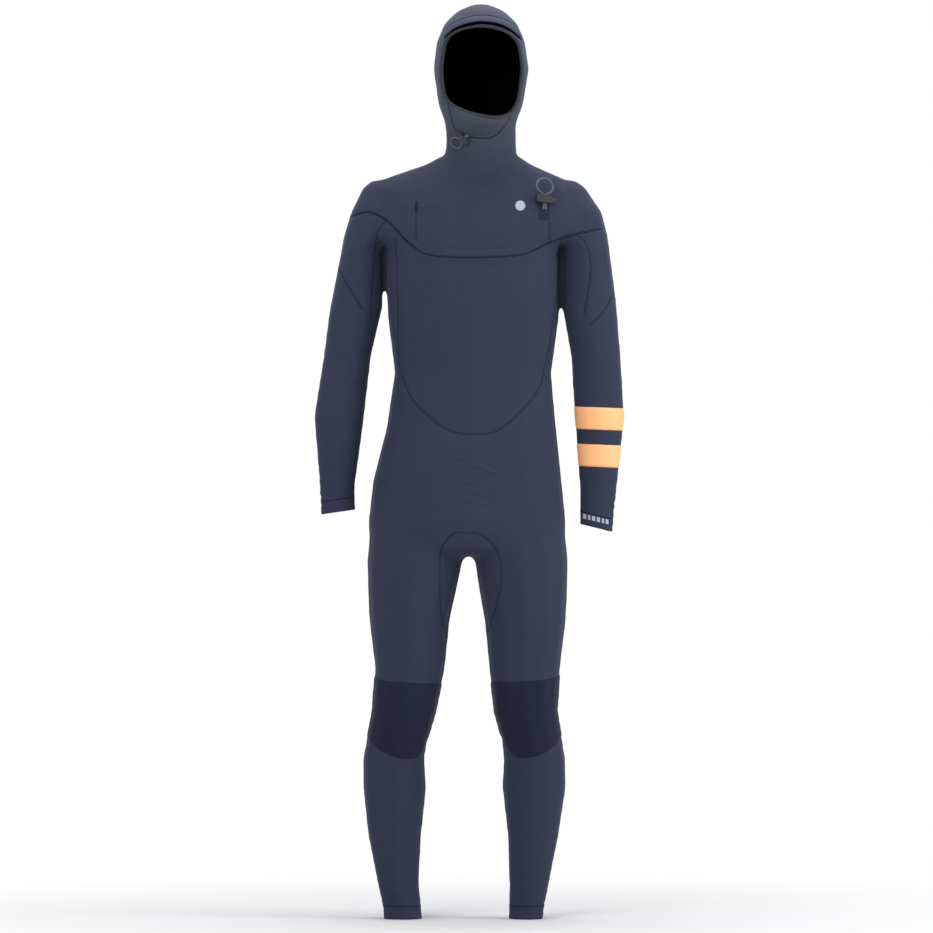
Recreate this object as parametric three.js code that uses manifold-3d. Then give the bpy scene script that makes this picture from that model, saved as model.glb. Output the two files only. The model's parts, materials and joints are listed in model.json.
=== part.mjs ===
// Hooded full wetsuit, standing as worn, as separate neoprene panels with its zip, toggles and cords.
// Millimetres, +Z up, the chest faces -Y and the wearer's left is +X.
// Heights are written above the ankle hems, and the whole group is then lowered so that the
// origin lies between the shoulders, where the wearer holds the suit up.
import * as THREE from "three";
import { mergeVertices } from "three/addons/utils/BufferGeometryUtils.js";
import Module from "manifold-3d";

// Driving dimensions.
const neopreneThickness = 5;
const seamGap = 0.3;
const clearance = 0.3;
const hoodTop = 1721;
const rightWristHem = 766;
const leftWristHem = 736;
const ankleHem = 0;
const wristCuffHeight = 26;
const ankleCuffHeight = 24;
const bandHeight = 42;
const bandThickness = 0.8;
const tapeWidth = 10;
const tapeThickness = 0.6;
const flapWidth = 22;
const flapThickness = 1.5;
const flapClearance = 0.6;
const zipLevel = 1246;
const zipRadius = 300;
const zipCentreX = 6;
const zipFrontY = -115.6;
const zipHalfLength = 90;
const zipTapeHeight = 7;
const zipTapeGap = 2;
const zipTapeThickness = 0.8;
const sliderLength = 12;
const sliderHeight = 9;
const sliderPlate = 0.8;
const lockWidth = 30;
const lockDepth = 12;
const lockHeight = 16;
const lockWall = 3;
const plungerDiameter = 8;
const plungerTravel = 4;
const springLength = 7;
const springWire = 0.9;
const cordDiameter = 3.5;
const cordRingRadius = 16;
const chinLockScale = 0.7;
const badgeDiameter = 22;
const markHeight = 9;
const brimThickness = 2.2;
const sealThickness = 1.2;
const sealWidth = 5;
const sealReach = 20;
const throughDepth = 400;
const sideSeamY = 2;
const cuffOvershoot = 60;

// Facets round each body.
const torsoSides = 20;
const headSides = 16;
const sleeveSides = 12;
const legSides = 12;

// Where the suit bends, as heights above the ankle hems.
const neckFrom = 1412;
const neckTo = 1464;
const elbowTop = 1085;
const elbowBottom = 975;
const kneeTop = 455;
const kneeBottom = 302;
const originPoint = [18, 0, 1400];

const wasm = await Module();
wasm.setup();

// Materials, one for each finish.
const finish = (name, color, roughness, metalness = 0) => {
  const made = new THREE.MeshStandardMaterial({ color, roughness, metalness });
  made.name = name;
  return made;
};
const jersey = finish("jersey", 0x3e4050, 0.85);
const hoodJersey = finish("hood_jersey", 0x474b56, 0.85);
const kneeRubber = finish("knee_rubber", 0x242536, 0.7);
const smoothRubber = finish("smooth_rubber", 0x1e2029, 0.5);
const seamSeal = finish("seam_seal", 0x2b2c3c, 0.55);
const orangePrint = finish("orange_print", 0xffb070, 0.8);
const whitePrint = finish("white_print", 0xe1e1eb, 0.7);
const lockPlastic = finish("lock_plastic", 0x202128, 0.45);
const springSteel = finish("spring_steel", 0x9a9ca0, 0.3, 1);
const cordElastic = finish("cord_elastic", 0x4a4c58, 0.8);
const zipPlastic = finish("zip_plastic", 0x2a2b33, 0.5);

// A closed three.js geometry as a manifold-3d solid.
function solidOf(geometry) {
  const bare = geometry.clone();
  bare.deleteAttribute("normal");
  bare.deleteAttribute("uv");
  const merged = mergeVertices(bare, 1e-4);
  return new wasm.Manifold(
    new wasm.Mesh({
      numProp: 3,
      vertProperties: merged.attributes.position.array,
      triVerts: new Uint32Array(merged.index.array),
    }),
  );
}

function meshOf(name, solid, material) {
  const data = solid.getMesh();
  const points = new Float32Array(data.numVert * 3);
  for (let i = 0; i < data.numVert; i++) {
    points.set(data.vertProperties.subarray(i * data.numProp, i * data.numProp + 3), i * 3);
  }
  const geometry = new THREE.BufferGeometry();
  geometry.setAttribute("position", new THREE.BufferAttribute(points, 3));
  geometry.setIndex(new THREE.BufferAttribute(data.triVerts, 1));
  geometry.computeVertexNormals();
  const mesh = new THREE.Mesh(geometry, material);
  mesh.name = name;
  return mesh;
}

// A closed body lofted through level sections { z, left, right, front, back }, as a rounded
// section between its four edges. squareness 2 is an ellipse, and more is boxier. The surface
// moves in by inset, square to its own slope, and closedStart moves the lowest cap in too.
function loft(sections, sides, squareness, inset, closedStart = false) {
  const points = [];
  const faces = [];
  const power = 2 / squareness;
  const last = sections.length - 1;
  const radius = (s) => (s.right - s.left + s.back - s.front) / 4;
  const slopeAt = (i) => {
    if (i === 0) return closedStart ? -Math.PI / 2 : 0;
    if (i === last) return Math.PI / 2;
    const growth = radius(sections[i + 1]) - radius(sections[i - 1]);
    return Math.atan2(-growth, sections[i + 1].z - sections[i - 1].z);
  };
  sections.forEach((s, i) => {
    const inward = inset * Math.cos(slopeAt(i));
    const level = s.z - inset * Math.sin(slopeAt(i));
    const rx = (s.right - s.left) / 2 - inward;
    const ry = (s.back - s.front) / 2 - inward;
    for (let k = 0; k < sides; k++) {
      const turn = (2 * Math.PI * k) / sides;
      const c = Math.cos(turn);
      const d = Math.sin(turn);
      const x = (s.left + s.right) / 2 + rx * Math.sign(c) * Math.abs(c) ** power;
      const y = (s.front + s.back) / 2 + ry * Math.sign(d) * Math.abs(d) ** power;
      points.push(x, y, level);
    }
  });
  const rings = sections.length;
  for (let r = 0; r + 1 < rings; r++) {
    for (let k = 0; k < sides; k++) {
      const a = r * sides + k;
      const b = r * sides + ((k + 1) % sides);
      faces.push(a, b, b + sides, a, b + sides, a + sides);
    }
  }
  const topStart = (rings - 1) * sides;
  for (let k = 1; k + 1 < sides; k++) {
    faces.push(0, k + 1, k, topStart, topStart + k, topStart + k + 1);
  }
  const geometry = new THREE.BufferGeometry();
  geometry.setAttribute("position", new THREE.Float32BufferAttribute(points, 3));
  geometry.setIndex(faces);
  return solidOf(geometry);
}

const section = (z, left, right, front, back) => ({ z, left, right, front, back });

// Torso from the crotch to the neck base.
const torsoSections = [
  section(684, -120, 112, -70, 84),
  section(697, -178, 170, -98, 116),
  section(735, -193, 182, -109, 127),
  section(824, -183, 173, -108, 120),
  section(926, -157, 162, -101, 92),
  section(1028, -142, 153, -101, 88),
  section(1128, -154, 167, -112, 98),
  section(1200, -158, 169.5, -118, 106),
  section(1258, -158, 169.5, -118, 110),
  section(1272, -164, 176, -117, 111),
  section(1300, -176, 194, -113, 112),
  section(1345, -188, 212, -98, 108),
  section(1372, -190, 206, -82, 98),
  section(1391, -168, 182, -68, 84),
  section(1421, -82, 114, -52, 68),
  section(1436, -54, 92, -46, 60),
];

// Neck and hood.
const headSections = [
  section(1395, -46, 82, -56, 70),
  section(1442, -47, 88, -62, 68),
  section(1467, -45, 87, -68, 66),
  section(1497, -47, 87, -96, 72),
  section(1535, -60, 100.5, -110, 86),
  section(1600, -69, 111, -113, 99),
  section(1650, -63, 104, -108, 98),
  section(1685, -48, 89, -93, 85),
  section(1708, -24, 65, -66, 60),
  section(hoodTop, 6, 36, -22, 20),
];

// Sleeves, from the shoulder down to the wrist hem. The upper sleeve lies close to the torso and
// runs into it above the armpit.
const rightSleeveSections = (hem) => [
  section(hem, -281, -216, -26, 28),
  section(811, -283, -217, -27, 29),
  section(945, -294, -199, -43, 47),
  section(1060, -276, -186, -48, 51),
  section(1150, -264, -165, -52, 54),
  section(1262, -242, -162, -57, 62),
  section(1285, -238, -140, -58, 64),
  section(1331, -224, -120, -56, 64),
  section(1376, -202, -120, -36, 50),
  section(1390, -184, -134, -18, 34),
];
const leftSleeveSections = (hem) => [
  section(hem, 206, 268, -26, 28),
  section(811, 207, 277, -28, 30),
  section(945, 197, 291, -44, 47),
  section(1060, 190, 284, -49, 51),
  section(1150, 174, 277, -53, 55),
  section(1262, 173.5, 263, -58, 62),
  section(1285, 150, 260, -59, 65),
  section(1331, 135, 248, -57, 65),
  section(1376, 134, 218, -37, 51),
  section(1390, 148, 198, -18, 34),
];

// Legs, from the ankle hem up into the hips.
const rightLegSections = (hem) => [
  section(hem, -160, -90, -36, 40),
  section(65, -174, -96, -38, 46),
  section(155, -192, -92, -40, 68),
  section(246, -202, -82, -46, 82),
  section(300, -202, -86, -51, 74),
  section(336, -195, -80, -56, 64),
  section(390, -185, -64, -63, 60),
  section(472, -179, -47, -72, 67),
  section(562, -190, -38, -83, 80),
  section(675, -195, -12.5, -96, 100),
  section(760, -186, -10, -90, 100),
];
const leftLegSections = (hem) => [
  section(hem, 73, 135, -34, 38),
  section(65, 74, 149, -37, 44),
  section(155, 71, 167, -40, 67),
  section(246, 61, 181, -46, 81),
  section(300, 63, 180, -51, 74),
  section(336, 60, 174, -56, 64),
  section(390, 45, 165, -63, 60),
  section(472, 36, 170, -72, 67),
  section(562, 27, 181, -83, 80),
  section(675, 7.5, 186, -96, 100),
  section(760, 6, 176, -90, 100),
];

// The whole suit as one body, grown by its negative inset. openPast carries the limbs on past
// their hems, so that an inner body opens every cuff.
function suitBody(inset, openPast) {
  const torso = loft(torsoSections, torsoSides, 2.35, inset, true);
  const head = loft(headSections, headSides, 2.1, inset);
  const limbs = [
    loft(rightSleeveSections(rightWristHem - openPast), sleeveSides, 2, inset),
    loft(leftSleeveSections(leftWristHem - openPast), sleeveSides, 2, inset),
    loft(rightLegSections(ankleHem - openPast), legSides, 2.1, inset),
    loft(leftLegSections(ankleHem - openPast), legSides, 2.1, inset),
  ];
  return limbs.reduce((body, limb) => body.add(limb), torso.add(head));
}

// A solid with an outline in X and Z that runs from one Y to another.
function prism(outline, fromY, toY) {
  const shape = new THREE.Shape(outline.map(([x, z]) => new THREE.Vector2(x, z)));
  const options = { depth: toY - fromY, bevelEnabled: false, steps: 1 };
  const geometry = new THREE.ExtrudeGeometry(shape, options);
  geometry.rotateX(Math.PI / 2);
  geometry.translate(0, toY, 0);
  return solidOf(geometry);
}

// A line through X and Z points, thickened to a width. It is straight between its points.
function ribbonOutline(points, width) {
  const one = [];
  const other = [];
  points.forEach(([x, z], i) => {
    const [ax, az] = points[Math.max(i - 1, 0)];
    const [bx, bz] = points[Math.min(i + 1, points.length - 1)];
    const length = Math.hypot(bx - ax, bz - az);
    const nx = ((az - bz) / length) * (width / 2);
    const nz = ((bx - ax) / length) * (width / 2);
    one.push([x + nx, z + nz]);
    other.unshift([x - nx, z - nz]);
  });
  return one.concat(other);
}

const smooth = (points, steps) =>
  new THREE.SplineCurve(points.map(([x, z]) => new THREE.Vector2(x, z)))
    .getPoints(steps)
    .map((p) => [p.x, p.y]);

const frontKnife = (points) => prism(ribbonOutline(points, seamGap), -throughDepth, sideSeamY);
const throughKnife = (points) =>
  prism(ribbonOutline(points, seamGap), -throughDepth, throughDepth);
const levelKnife = (z, fromX, toX) => throughKnife([[fromX, z], [toX, z]]);

// A knife that parts front from back along the side seams, at a depth y.
function sideKnife(y, fromX, toX, fromZ, toZ) {
  const outline = [[fromX, fromZ], [toX, fromZ], [toX, toZ], [fromX, toZ]];
  return prism(outline, y - seamGap / 2, y + seamGap / 2);
}

// Cuts a solid with thin knives and names each part by a point on it.
function separate(solid, knives, seeds) {
  const cut = knives.reduce((rest, knife) => rest.subtract(knife), solid);
  const parts = cut.decompose().filter((part) => part.volume() > 20);
  const nearest = (part, [x, y, z]) => {
    const { vertProperties, numProp, numVert } = part.getMesh();
    let best = Infinity;
    for (let i = 0; i < numVert; i++) {
      const at = i * numProp;
      const gap = Math.hypot(
        vertProperties[at] - x,
        vertProperties[at + 1] - y,
        vertProperties[at + 2] - z,
      );
      best = Math.min(best, gap);
    }
    return best;
  };
  const named = {};
  const taken = new Set();
  for (const [name, point] of Object.entries(seeds)) {
    const gaps = parts.map((part) => nearest(part, point));
    const pick = gaps.indexOf(Math.min(...gaps));
    if (taken.has(pick)) throw new Error(name + " falls on a part that already has a name");
    taken.add(pick);
    named[name] = parts[pick];
  }
  if (parts.length !== taken.size) {
    const sizes = parts.map((part, i) => (taken.has(i) ? "" : describe(part))).filter(Boolean);
    throw new Error("parts without a name: " + sizes.join("; "));
  }
  return named;
}

function describe(part) {
  const { min, max } = part.boundingBox();
  return [...min].map(Math.round) + " to " + [...max].map(Math.round) + " volume " + part.volume().toFixed(0);
}

// Seam lines, as X and Z points.
const chestSeam = smooth(
  [[-225, 1322], [-190, 1330], [-154, 1312], [-120, 1276], [-87, 1254], [-50, zipLevel],
    [14, zipLevel], [85, zipLevel], [120, 1258], [150, 1272], [191, 1286], [250, 1300]],
  22,
);
const torsoPanelSeam = smooth(
  [[-140, 1310], [-138, 1240], [-135, 1150], [-134, 1067], [-131, 1037], [-120, 1004], [-104, 973],
    [-59, 932], [-28, 917], [2, 914], [52, 920], [107, 968], [132, 1004], [137, 1026],
    [149, 1080], [162, 1180], [168, 1250], [171, 1300]],
  28,
);
const rightBibEdge = [[-100, 1240], [-101, 1300], [-98, 1360], [-74, 1412], [-66, 1425]];
const leftBibEdge = [[149, 1250], [149, 1352], [136, 1386], [108, 1412], [98, 1425]];
const backYokeSeam = smooth([[-230, 1120], [-120, 1085], [0, 1070], [120, 1085], [240, 1120]], 12);
const rightShoulderLine = [[-160.3, 1235], [-160.8, 1262], [-252, 1372]];
const leftShoulderLine = [[171.7, 1235], [171.6, 1260], [288, 1340]];
const rightSleeveTop = [[-300, 1170], [-150, 1100]];
const leftSleeveTop = [[310, 1170], [160, 1100]];
const rightHipTop = [[0, 690], [-230, 920]];
const leftHipTop = [[0, 690], [230, 920]];
const rightHipBottom = [[20, 545], [-215, 640]];
const leftHipBottom = [[-20, 545], [215, 640]];
const gussetOutline = smooth(
  [[-50, 592], [-56, 630], [-56, 680], [-41, 713], [-20, 727], [12, 727], [38, 710],
    [57, 676], [57, 630], [48, 592]],
  18,
);
const chinSeam = smooth(
  [[-32, 1552], [-42, 1536], [-36, 1512], [-27, 1486], [-6, 1473], [20, 1470], [42, 1472],
    [58, 1482], [72, 1504], [79, 1521], [72, 1545]],
  14,
);
const faceOpening = smooth(
  [[-51, 1600], [-50, 1560], [-36, 1532], [-8, 1516], [30, 1512], [62, 1517], [82, 1532],
    [93, 1560], [94, 1600], [88, 1640], [66, 1668], [24, 1680], [-20, 1670], [-44, 1640],
    [-51, 1600]],
  28,
).slice(0, -1);
const brimOutline = smooth([[-49, 1661], [-24, 1686], [22, 1698], [70, 1686], [94, 1661]], 12).concat(
  smooth([[90, 1657], [66, 1676], [24, 1688], [-20, 1678], [-46, 1656]], 12),
);

const outer = suitBody(0, 0);
const inner = suitBody(neopreneThickness, cuffOvershoot);
const facePrism = prism(faceOpening, -throughDepth, 0);
const shell = outer.subtract(inner).subtract(facePrism);

// A layer that lies on the outside of the suit, from one height above it to another. A negative
// height lies inside the suit.
function layer(fromHeight, toHeight) {
  const top = suitBody(-toHeight, 0);
  return top.subtract(suitBody(-fromHeight, cuffOvershoot));
}

// Zip pieces are sectors of one ring, so that the slider runs round its centre.
const zipCentreY = zipFrontY + zipRadius;
const zipTurn = zipHalfLength / zipRadius;
function ringSector(fromRadius, toRadius, fromTurn, toTurn, fromZ, toZ, curveSegments = 10) {
  const shape = new THREE.Shape();
  const start = -Math.PI / 2 + fromTurn;
  const stop = -Math.PI / 2 + toTurn;
  shape.absarc(0, 0, toRadius, start, stop, false);
  shape.absarc(0, 0, fromRadius, stop, start, true);
  const geometry = new THREE.ExtrudeGeometry(shape, {
    depth: toZ - fromZ,
    bevelEnabled: false,
    curveSegments,
  });
  geometry.translate(zipCentreX, zipCentreY, fromZ);
  return solidOf(geometry);
}

const tapeReach = zipTapeGap / 2 + zipTapeHeight;
const channelTurn = zipTurn + clearance / zipRadius;
const zipChannel = ringSector(
  zipRadius - 20,
  zipRadius + 20,
  -channelTurn,
  channelTurn,
  zipLevel - tapeReach - clearance,
  zipLevel + tapeReach + clearance,
);

// The gusset is cut out first, then the suit in zones, then each zone in panels.
const gussetPrism = prism(gussetOutline, -throughDepth, throughDepth);
const gussetCut = prism(
  ribbonOutline(gussetOutline.concat([gussetOutline[0]]), 2 * seamGap),
  -throughDepth,
  throughDepth,
);
const crotchGusset = shell.intersect(gussetPrism).subtract(gussetCut);
const zones = separate(
  shell.subtract(zipChannel).subtract(gussetPrism),
  [
    levelKnife(neckFrom, -200, 220),
    levelKnife(neckTo, -100, 140),
    throughKnife(rightShoulderLine),
    throughKnife(leftShoulderLine),
    throughKnife(rightSleeveTop),
    throughKnife(leftSleeveTop),
    levelKnife(elbowTop, -320, -160),
    levelKnife(elbowTop, 175, 320),
    levelKnife(elbowBottom, -320, -170),
    levelKnife(elbowBottom, 175, 320),
    levelKnife(rightWristHem + wristCuffHeight, -320, -200),
    levelKnife(leftWristHem + wristCuffHeight, 190, 320),
    throughKnife(rightHipTop),
    throughKnife(leftHipTop),
    throughKnife(rightHipBottom),
    throughKnife(leftHipBottom),
    levelKnife(kneeTop, -230, 230),
    levelKnife(kneeBottom, -230, 230),
    levelKnife(ankleHem + ankleCuffHeight, -230, 230),
  ],
  {
    hood: [20, 60, 1700],
    neck_panel: [20, -65, 1440],
    torso: [20, -118, 1100],
    right_shoulder_panel: [-235, 0, 1280],
    left_shoulder_panel: [255, 0, 1270],
    right_upper_sleeve: [-225, -50, 1112],
    left_upper_sleeve: [235, -50, 1112],
    right_elbow_panel: [-235, -48, 1040],
    left_elbow_panel: [238, -48, 1040],
    right_forearm_panel: [-250, -40, 880],
    left_forearm_panel: [243, -40, 880],
    right_wrist_cuff: [-250, -26, 780],
    left_wrist_cuff: [238, -26, 750],
    right_hip_panel: [-100, 100, 680],
    left_hip_panel: [100, 100, 680],
    right_thigh_panel: [-113, -77, 510],
    left_thigh_panel: [106, -77, 510],
    right_knee: [-125, -60, 380],
    left_knee: [106, -60, 380],
    right_shin_panel: [-142, -46, 200],
    left_shin_panel: [120, -46, 200],
    right_ankle_cuff: [-125, -36, 12],
    left_ankle_cuff: [104, -36, 12],
  },
);

const torsoPanels = separate(
  zones.torso,
  [
    frontKnife(chestSeam),
    frontKnife(torsoPanelSeam),
    frontKnife(rightBibEdge),
    frontKnife(leftBibEdge),
    prism(ribbonOutline(backYokeSeam, seamGap), sideSeamY, throughDepth),
    sideKnife(sideSeamY, -300, 300, 600, 1500),
  ],
  {
    chest_bib: [20, -108, 1320],
    right_yoke: [-130, -85, 1350],
    left_yoke: [170, -80, 1350],
    front_torso_panel: [10, -108, 1080],
    waist_panel: [0, -106, 850],
    upper_back_panel: [10, 110, 1250],
    lower_back_panel: [10, 92, 950],
  },
);
const hoodPanels = separate(
  zones.hood,
  [frontKnife(chinSeam), sideKnife(18, -100, 150, 1400, 1800)],
  {
    hood_front_panel: [22, -70, 1700],
    hood_back_panel: [20, 98, 1610],
    chin_panel: [20, -85, 1488],
  },
);
const kneePanels = (side, x) =>
  separate(zones[side + "_knee"], [sideKnife(0, -230, 230, 200, 500)], {
    [side + "_knee_pad"]: [x, -62, 380],
    [side + "_knee_back"]: [x, 62, 380],
  });

// A closed outline moved out by a distance, square to its sides.
function growOutline(points, by) {
  const area = THREE.ShapeUtils.area(points.map(([x, z]) => new THREE.Vector2(x, z)));
  return points.map(([x, z], i) => {
    const [ax, az] = points[(i + points.length - 1) % points.length];
    const [bx, bz] = points[(i + 1) % points.length];
    const length = Math.hypot(bx - ax, bz - az) * Math.sign(area);
    return [x + ((bz - az) / length) * by, z - ((bx - ax) / length) * by];
  });
}

const discOutline = (x, z, radius, sides) =>
  Array.from({ length: sides }, (_, i) => {
    const turn = (2 * Math.PI * i) / sides;
    return [x + radius * Math.cos(turn), z + radius * Math.sin(turn)];
  });
const tiltedBox = (fromX, toX, fromZ, toZ, drop) => [
  [fromX, fromZ + drop], [toX, fromZ], [toX, toZ], [fromX, toZ + drop],
];
const onFront = (skin, outline) => skin.intersect(prism(outline, -throughDepth, 0));

// How far forward the suit's surface is at a place seen from the front.
const outerMesh = meshOf("outer", outer, jersey);
const sight = new THREE.Raycaster();
function frontDepth(x, z) {
  sight.set(new THREE.Vector3(x, -throughDepth, z), new THREE.Vector3(0, 1, 0));
  return sight.intersectObject(outerMesh)[0].point.y;
}

function box(fromX, toX, fromY, toY, fromZ, toZ) {
  const geometry = new THREE.BoxGeometry(toX - fromX, toY - fromY, toZ - fromZ);
  geometry.translate((fromX + toX) / 2, (fromY + toY) / 2, (fromZ + toZ) / 2);
  return solidOf(geometry);
}

// A round bar along local X.
function barAlongX(fromX, toX, diameter, y) {
  const geometry = new THREE.CylinderGeometry(diameter / 2, diameter / 2, toX - fromX, 12);
  geometry.rotateZ(Math.PI / 2);
  geometry.translate((fromX + toX) / 2, y, 0);
  return solidOf(geometry);
}

// A tube along a smooth line through points.
function tube(points, diameter, sides, steps) {
  const section = new THREE.Shape(
    discOutline(0, 0, diameter / 2, sides).map(([x, y]) => new THREE.Vector2(x, y)),
  );
  const extrudePath = new THREE.CatmullRomCurve3(points.map((p) => new THREE.Vector3(...p)));
  return solidOf(
    new THREE.ExtrudeGeometry(section, { steps, extrudePath, bevelEnabled: false }),
  );
}

const suit = new THREE.Group();
const add = (name, solid, material, group = suit) => group.add(meshOf(name, solid, material));

function addPanels() {
  const { torso, hood, right_knee, left_knee, ...rest } = zones;
  for (const [name, solid] of Object.entries({ ...rest, ...torsoPanels })) add(name, solid, jersey);
  for (const [name, solid] of Object.entries(hoodPanels)) add(name, solid, hoodJersey);
  const knees = { ...kneePanels("right", -125), ...kneePanels("left", 106) };
  for (const [name, solid] of Object.entries(knees)) {
    add(name, solid, name.endsWith("pad") ? kneeRubber : jersey);
  }
  add("crotch_gusset", crotchGusset, jersey);
}

// The stiff brim over the forehead and the rubber seal round the face.
function addFaceTrim() {
  const brimSkin = layer(clearance, clearance + brimThickness);
  add("forehead_brim", onFront(brimSkin, brimOutline), smoothRubber);
  const sealOutline = growOutline(faceOpening, sealWidth);
  const ring = prism(sealOutline, -throughDepth, -sealReach).subtract(facePrism);
  const sealSkin = layer(-neopreneThickness - clearance - sealThickness, -neopreneThickness - clearance);
  add("face_seal", sealSkin.intersect(ring), smoothRubber);
}

// Zip: two tapes in the channel, the slider that runs along them, the cover and the backing.
function addZip() {
  const tape = (fromZ, toZ) =>
    ringSector(
      zipRadius - zipTapeThickness / 2,
      zipRadius + zipTapeThickness / 2,
      -zipTurn,
      zipTurn,
      fromZ,
      toZ,
    );
  add("zip_tape_upper", tape(zipLevel + zipTapeGap / 2, zipLevel + tapeReach), zipPlastic);
  add("zip_tape_lower", tape(zipLevel - tapeReach, zipLevel - zipTapeGap / 2), zipPlastic);
  const plateIn = zipTapeThickness / 2 + clearance;
  const parked = zipTurn - (sliderLength + 2) / zipRadius;
  const sliderEnd = parked + sliderLength / zipRadius;
  const plate = (fromRadius, toRadius, half) =>
    ringSector(fromRadius, toRadius, parked, sliderEnd, zipLevel - half, zipLevel + half, 2);
  const slider = plate(zipRadius + plateIn, zipRadius + plateIn + sliderPlate, sliderHeight / 2)
    .add(plate(zipRadius - plateIn - sliderPlate, zipRadius - plateIn, sliderHeight / 2))
    .add(plate(zipRadius - plateIn - 0.1, zipRadius + plateIn + 0.1, zipTapeGap / 2 - clearance));
  add("zip_slider", slider, lockPlastic);
}

// The skins over and behind the zip, with their heights off the jersey.
function addZipCovers() {
  const flapLine = chestSeam.filter(([x]) => x > -112 && x < 146);
  add(
    "storm_flap",
    onFront(layer(flapClearance, flapClearance + flapThickness), ribbonOutline(flapLine, flapWidth)),
    seamSeal,
  );
  const backingHeight = -neopreneThickness - flapClearance;
  const backing = layer(backingHeight - flapThickness, backingHeight);
  add("zip_backing", onFront(backing, ribbonOutline(flapLine, flapWidth + 8)), jersey);
  const tapeLine = torsoPanelSeam.slice(3, -4);
  const tapeSkin = layer(clearance, clearance + tapeThickness);
  add("front_seam_tape", onFront(tapeSkin, ribbonOutline(tapeLine, tapeWidth)), seamSeal);
}

// Prints: two bands round the left forearm, a round chest badge and a plain mark on the cuff.
function addPrints() {
  const bandSkin = layer(clearance, clearance + bandThickness);
  const band = (z) =>
    bandSkin.intersect(
      prism(tiltedBox(190, 300, z, z + bandHeight, 3), -throughDepth, throughDepth),
    );
  add("forearm_band_upper", band(921), orangePrint);
  add("forearm_band_lower", band(851), orangePrint);
  add("chest_badge", onFront(bandSkin, discOutline(94, 1341, badgeDiameter / 2, 16)), whitePrint);
  add("cuff_mark", onFront(bandSkin, tiltedBox(218, 256, 744, 744 + markHeight, 4)), whitePrint);
}

// A spring cord lock with its doubled cord. In its own frame the loop goes up and the back is at
// y = 0. Both strands run up through the body and through a slot in the plunger.
const cordClearance = 0.5;
const strandX = [0.3, 4.7];
const strandY = -lockDepth / 2;
function addCordLock(name, group) {
  const holeDiameter = cordDiameter + 2 * cordClearance;
  const right = lockWidth / 2;
  const boreEnd = -right + lockWall;
  const plungerStart = boreEnd + springLength;
  const slotStart = strandX[0] - holeDiameter / 2;
  const slotEnd = strandX[1] + holeDiameter / 2 + plungerTravel;
  const half = lockHeight / 2;
  const corner = 4;
  const shape = new THREE.Shape();
  shape.absarc(right - corner, half - corner, corner, 0, Math.PI / 2, false);
  shape.absarc(corner - right, half - corner, corner, Math.PI / 2, Math.PI, false);
  shape.absarc(corner - right, corner - half, corner, Math.PI, 1.5 * Math.PI, false);
  shape.absarc(right - corner, corner - half, corner, 1.5 * Math.PI, 2 * Math.PI, false);
  const bodyGeometry = new THREE.ExtrudeGeometry(shape, {
    depth: lockDepth,
    bevelEnabled: false,
    curveSegments: 4,
  });
  bodyGeometry.rotateX(Math.PI / 2);
  let body = solidOf(bodyGeometry);
  for (const x of strandX) {
    const hole = new THREE.CylinderGeometry(holeDiameter / 2, holeDiameter / 2, 2 * lockHeight, 10);
    hole.rotateX(Math.PI / 2);
    hole.translate(x, strandY, 0);
    body = body.subtract(solidOf(hole));
  }
  const boreDiameter = plungerDiameter + 2 * clearance;
  body = body.subtract(barAlongX(boreEnd, right + 1, boreDiameter, strandY));
  add(name + "_cord_lock", body, lockPlastic, group);
  const plunger = barAlongX(plungerStart, right + plungerTravel + 2.5, plungerDiameter, strandY);
  const slotHalf = holeDiameter / 2;
  const slot = box(slotStart, slotEnd, strandY - slotHalf, strandY + slotHalf, -20, 20);
  add(name + "_lock_plunger", plunger.subtract(slot), lockPlastic, group);
  const coil = [];
  const turns = 3;
  const coilRadius = plungerDiameter / 2 - springWire;
  const coilStart = boreEnd + clearance + springWire / 2;
  const coilStretch = springLength - 2 * clearance - springWire;
  for (let i = 0; i <= turns * 8; i++) {
    const turn = (2 * Math.PI * i) / 8;
    coil.push([
      coilStart + (coilStretch * i) / (turns * 8),
      strandY + coilRadius * Math.cos(turn),
      coilRadius * Math.sin(turn),
    ]);
  }
  add(name + "_lock_spring", tube(coil, springWire, 5, turns * 9), springSteel, group);
  const ringX = (strandX[0] + strandX[1]) / 2;
  const ringZ = half + cordRingRadius + 5;
  const loop = [];
  for (let degrees = 232; degrees >= -52; degrees -= 28.4) {
    const turn = (degrees * Math.PI) / 180;
    loop.push([
      ringX + cordRingRadius * Math.cos(turn),
      strandY,
      ringZ + cordRingRadius * Math.sin(turn),
    ]);
  }
  const tail = [[-19, -4.6], [-14, -5], [-9, strandY], [0, strandY], [6, strandY], [11, strandY]];
  const route = [
    ...tail.map(([z, y]) => [strandX[0], y, z]),
    ...loop,
    ...tail.reverse().map(([z, y]) => [strandX[1], y, z]),
  ];
  add(name + "_bungee", tube(route, cordDiameter, 8, 36), cordElastic, group);
}

// Lays a group on the suit at a place seen from the front. It leans as the suit does over its
// reach, and is then moved forward until none of its pieces cuts in.
function seatOnFront(holder, x, z, reach) {
  const rise = frontDepth(x, z + reach) - frontDepth(x, z - reach);
  const run = frontDepth(x + reach, z) - frontDepth(x - reach, z);
  holder.rotation.set(-Math.atan2(rise, 2 * reach), 0, Math.atan2(run, 2 * reach));
  holder.position.set(x, frontDepth(x, z), z);
  suit.add(holder);
  const seatStep = 0.25;
  const cutsIn = () => {
    holder.updateWorldMatrix(true, true);
    let found = false;
    holder.traverse((piece) => {
      if (!piece.isMesh || found) return;
      const placed = solidOf(piece.geometry.clone().applyMatrix4(piece.matrixWorld));
      found = placed.intersect(outer).volume() > 0;
    });
    return found;
  };
  while (cutsIn()) holder.position.y -= seatStep;
  holder.position.y -= clearance;
}

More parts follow.
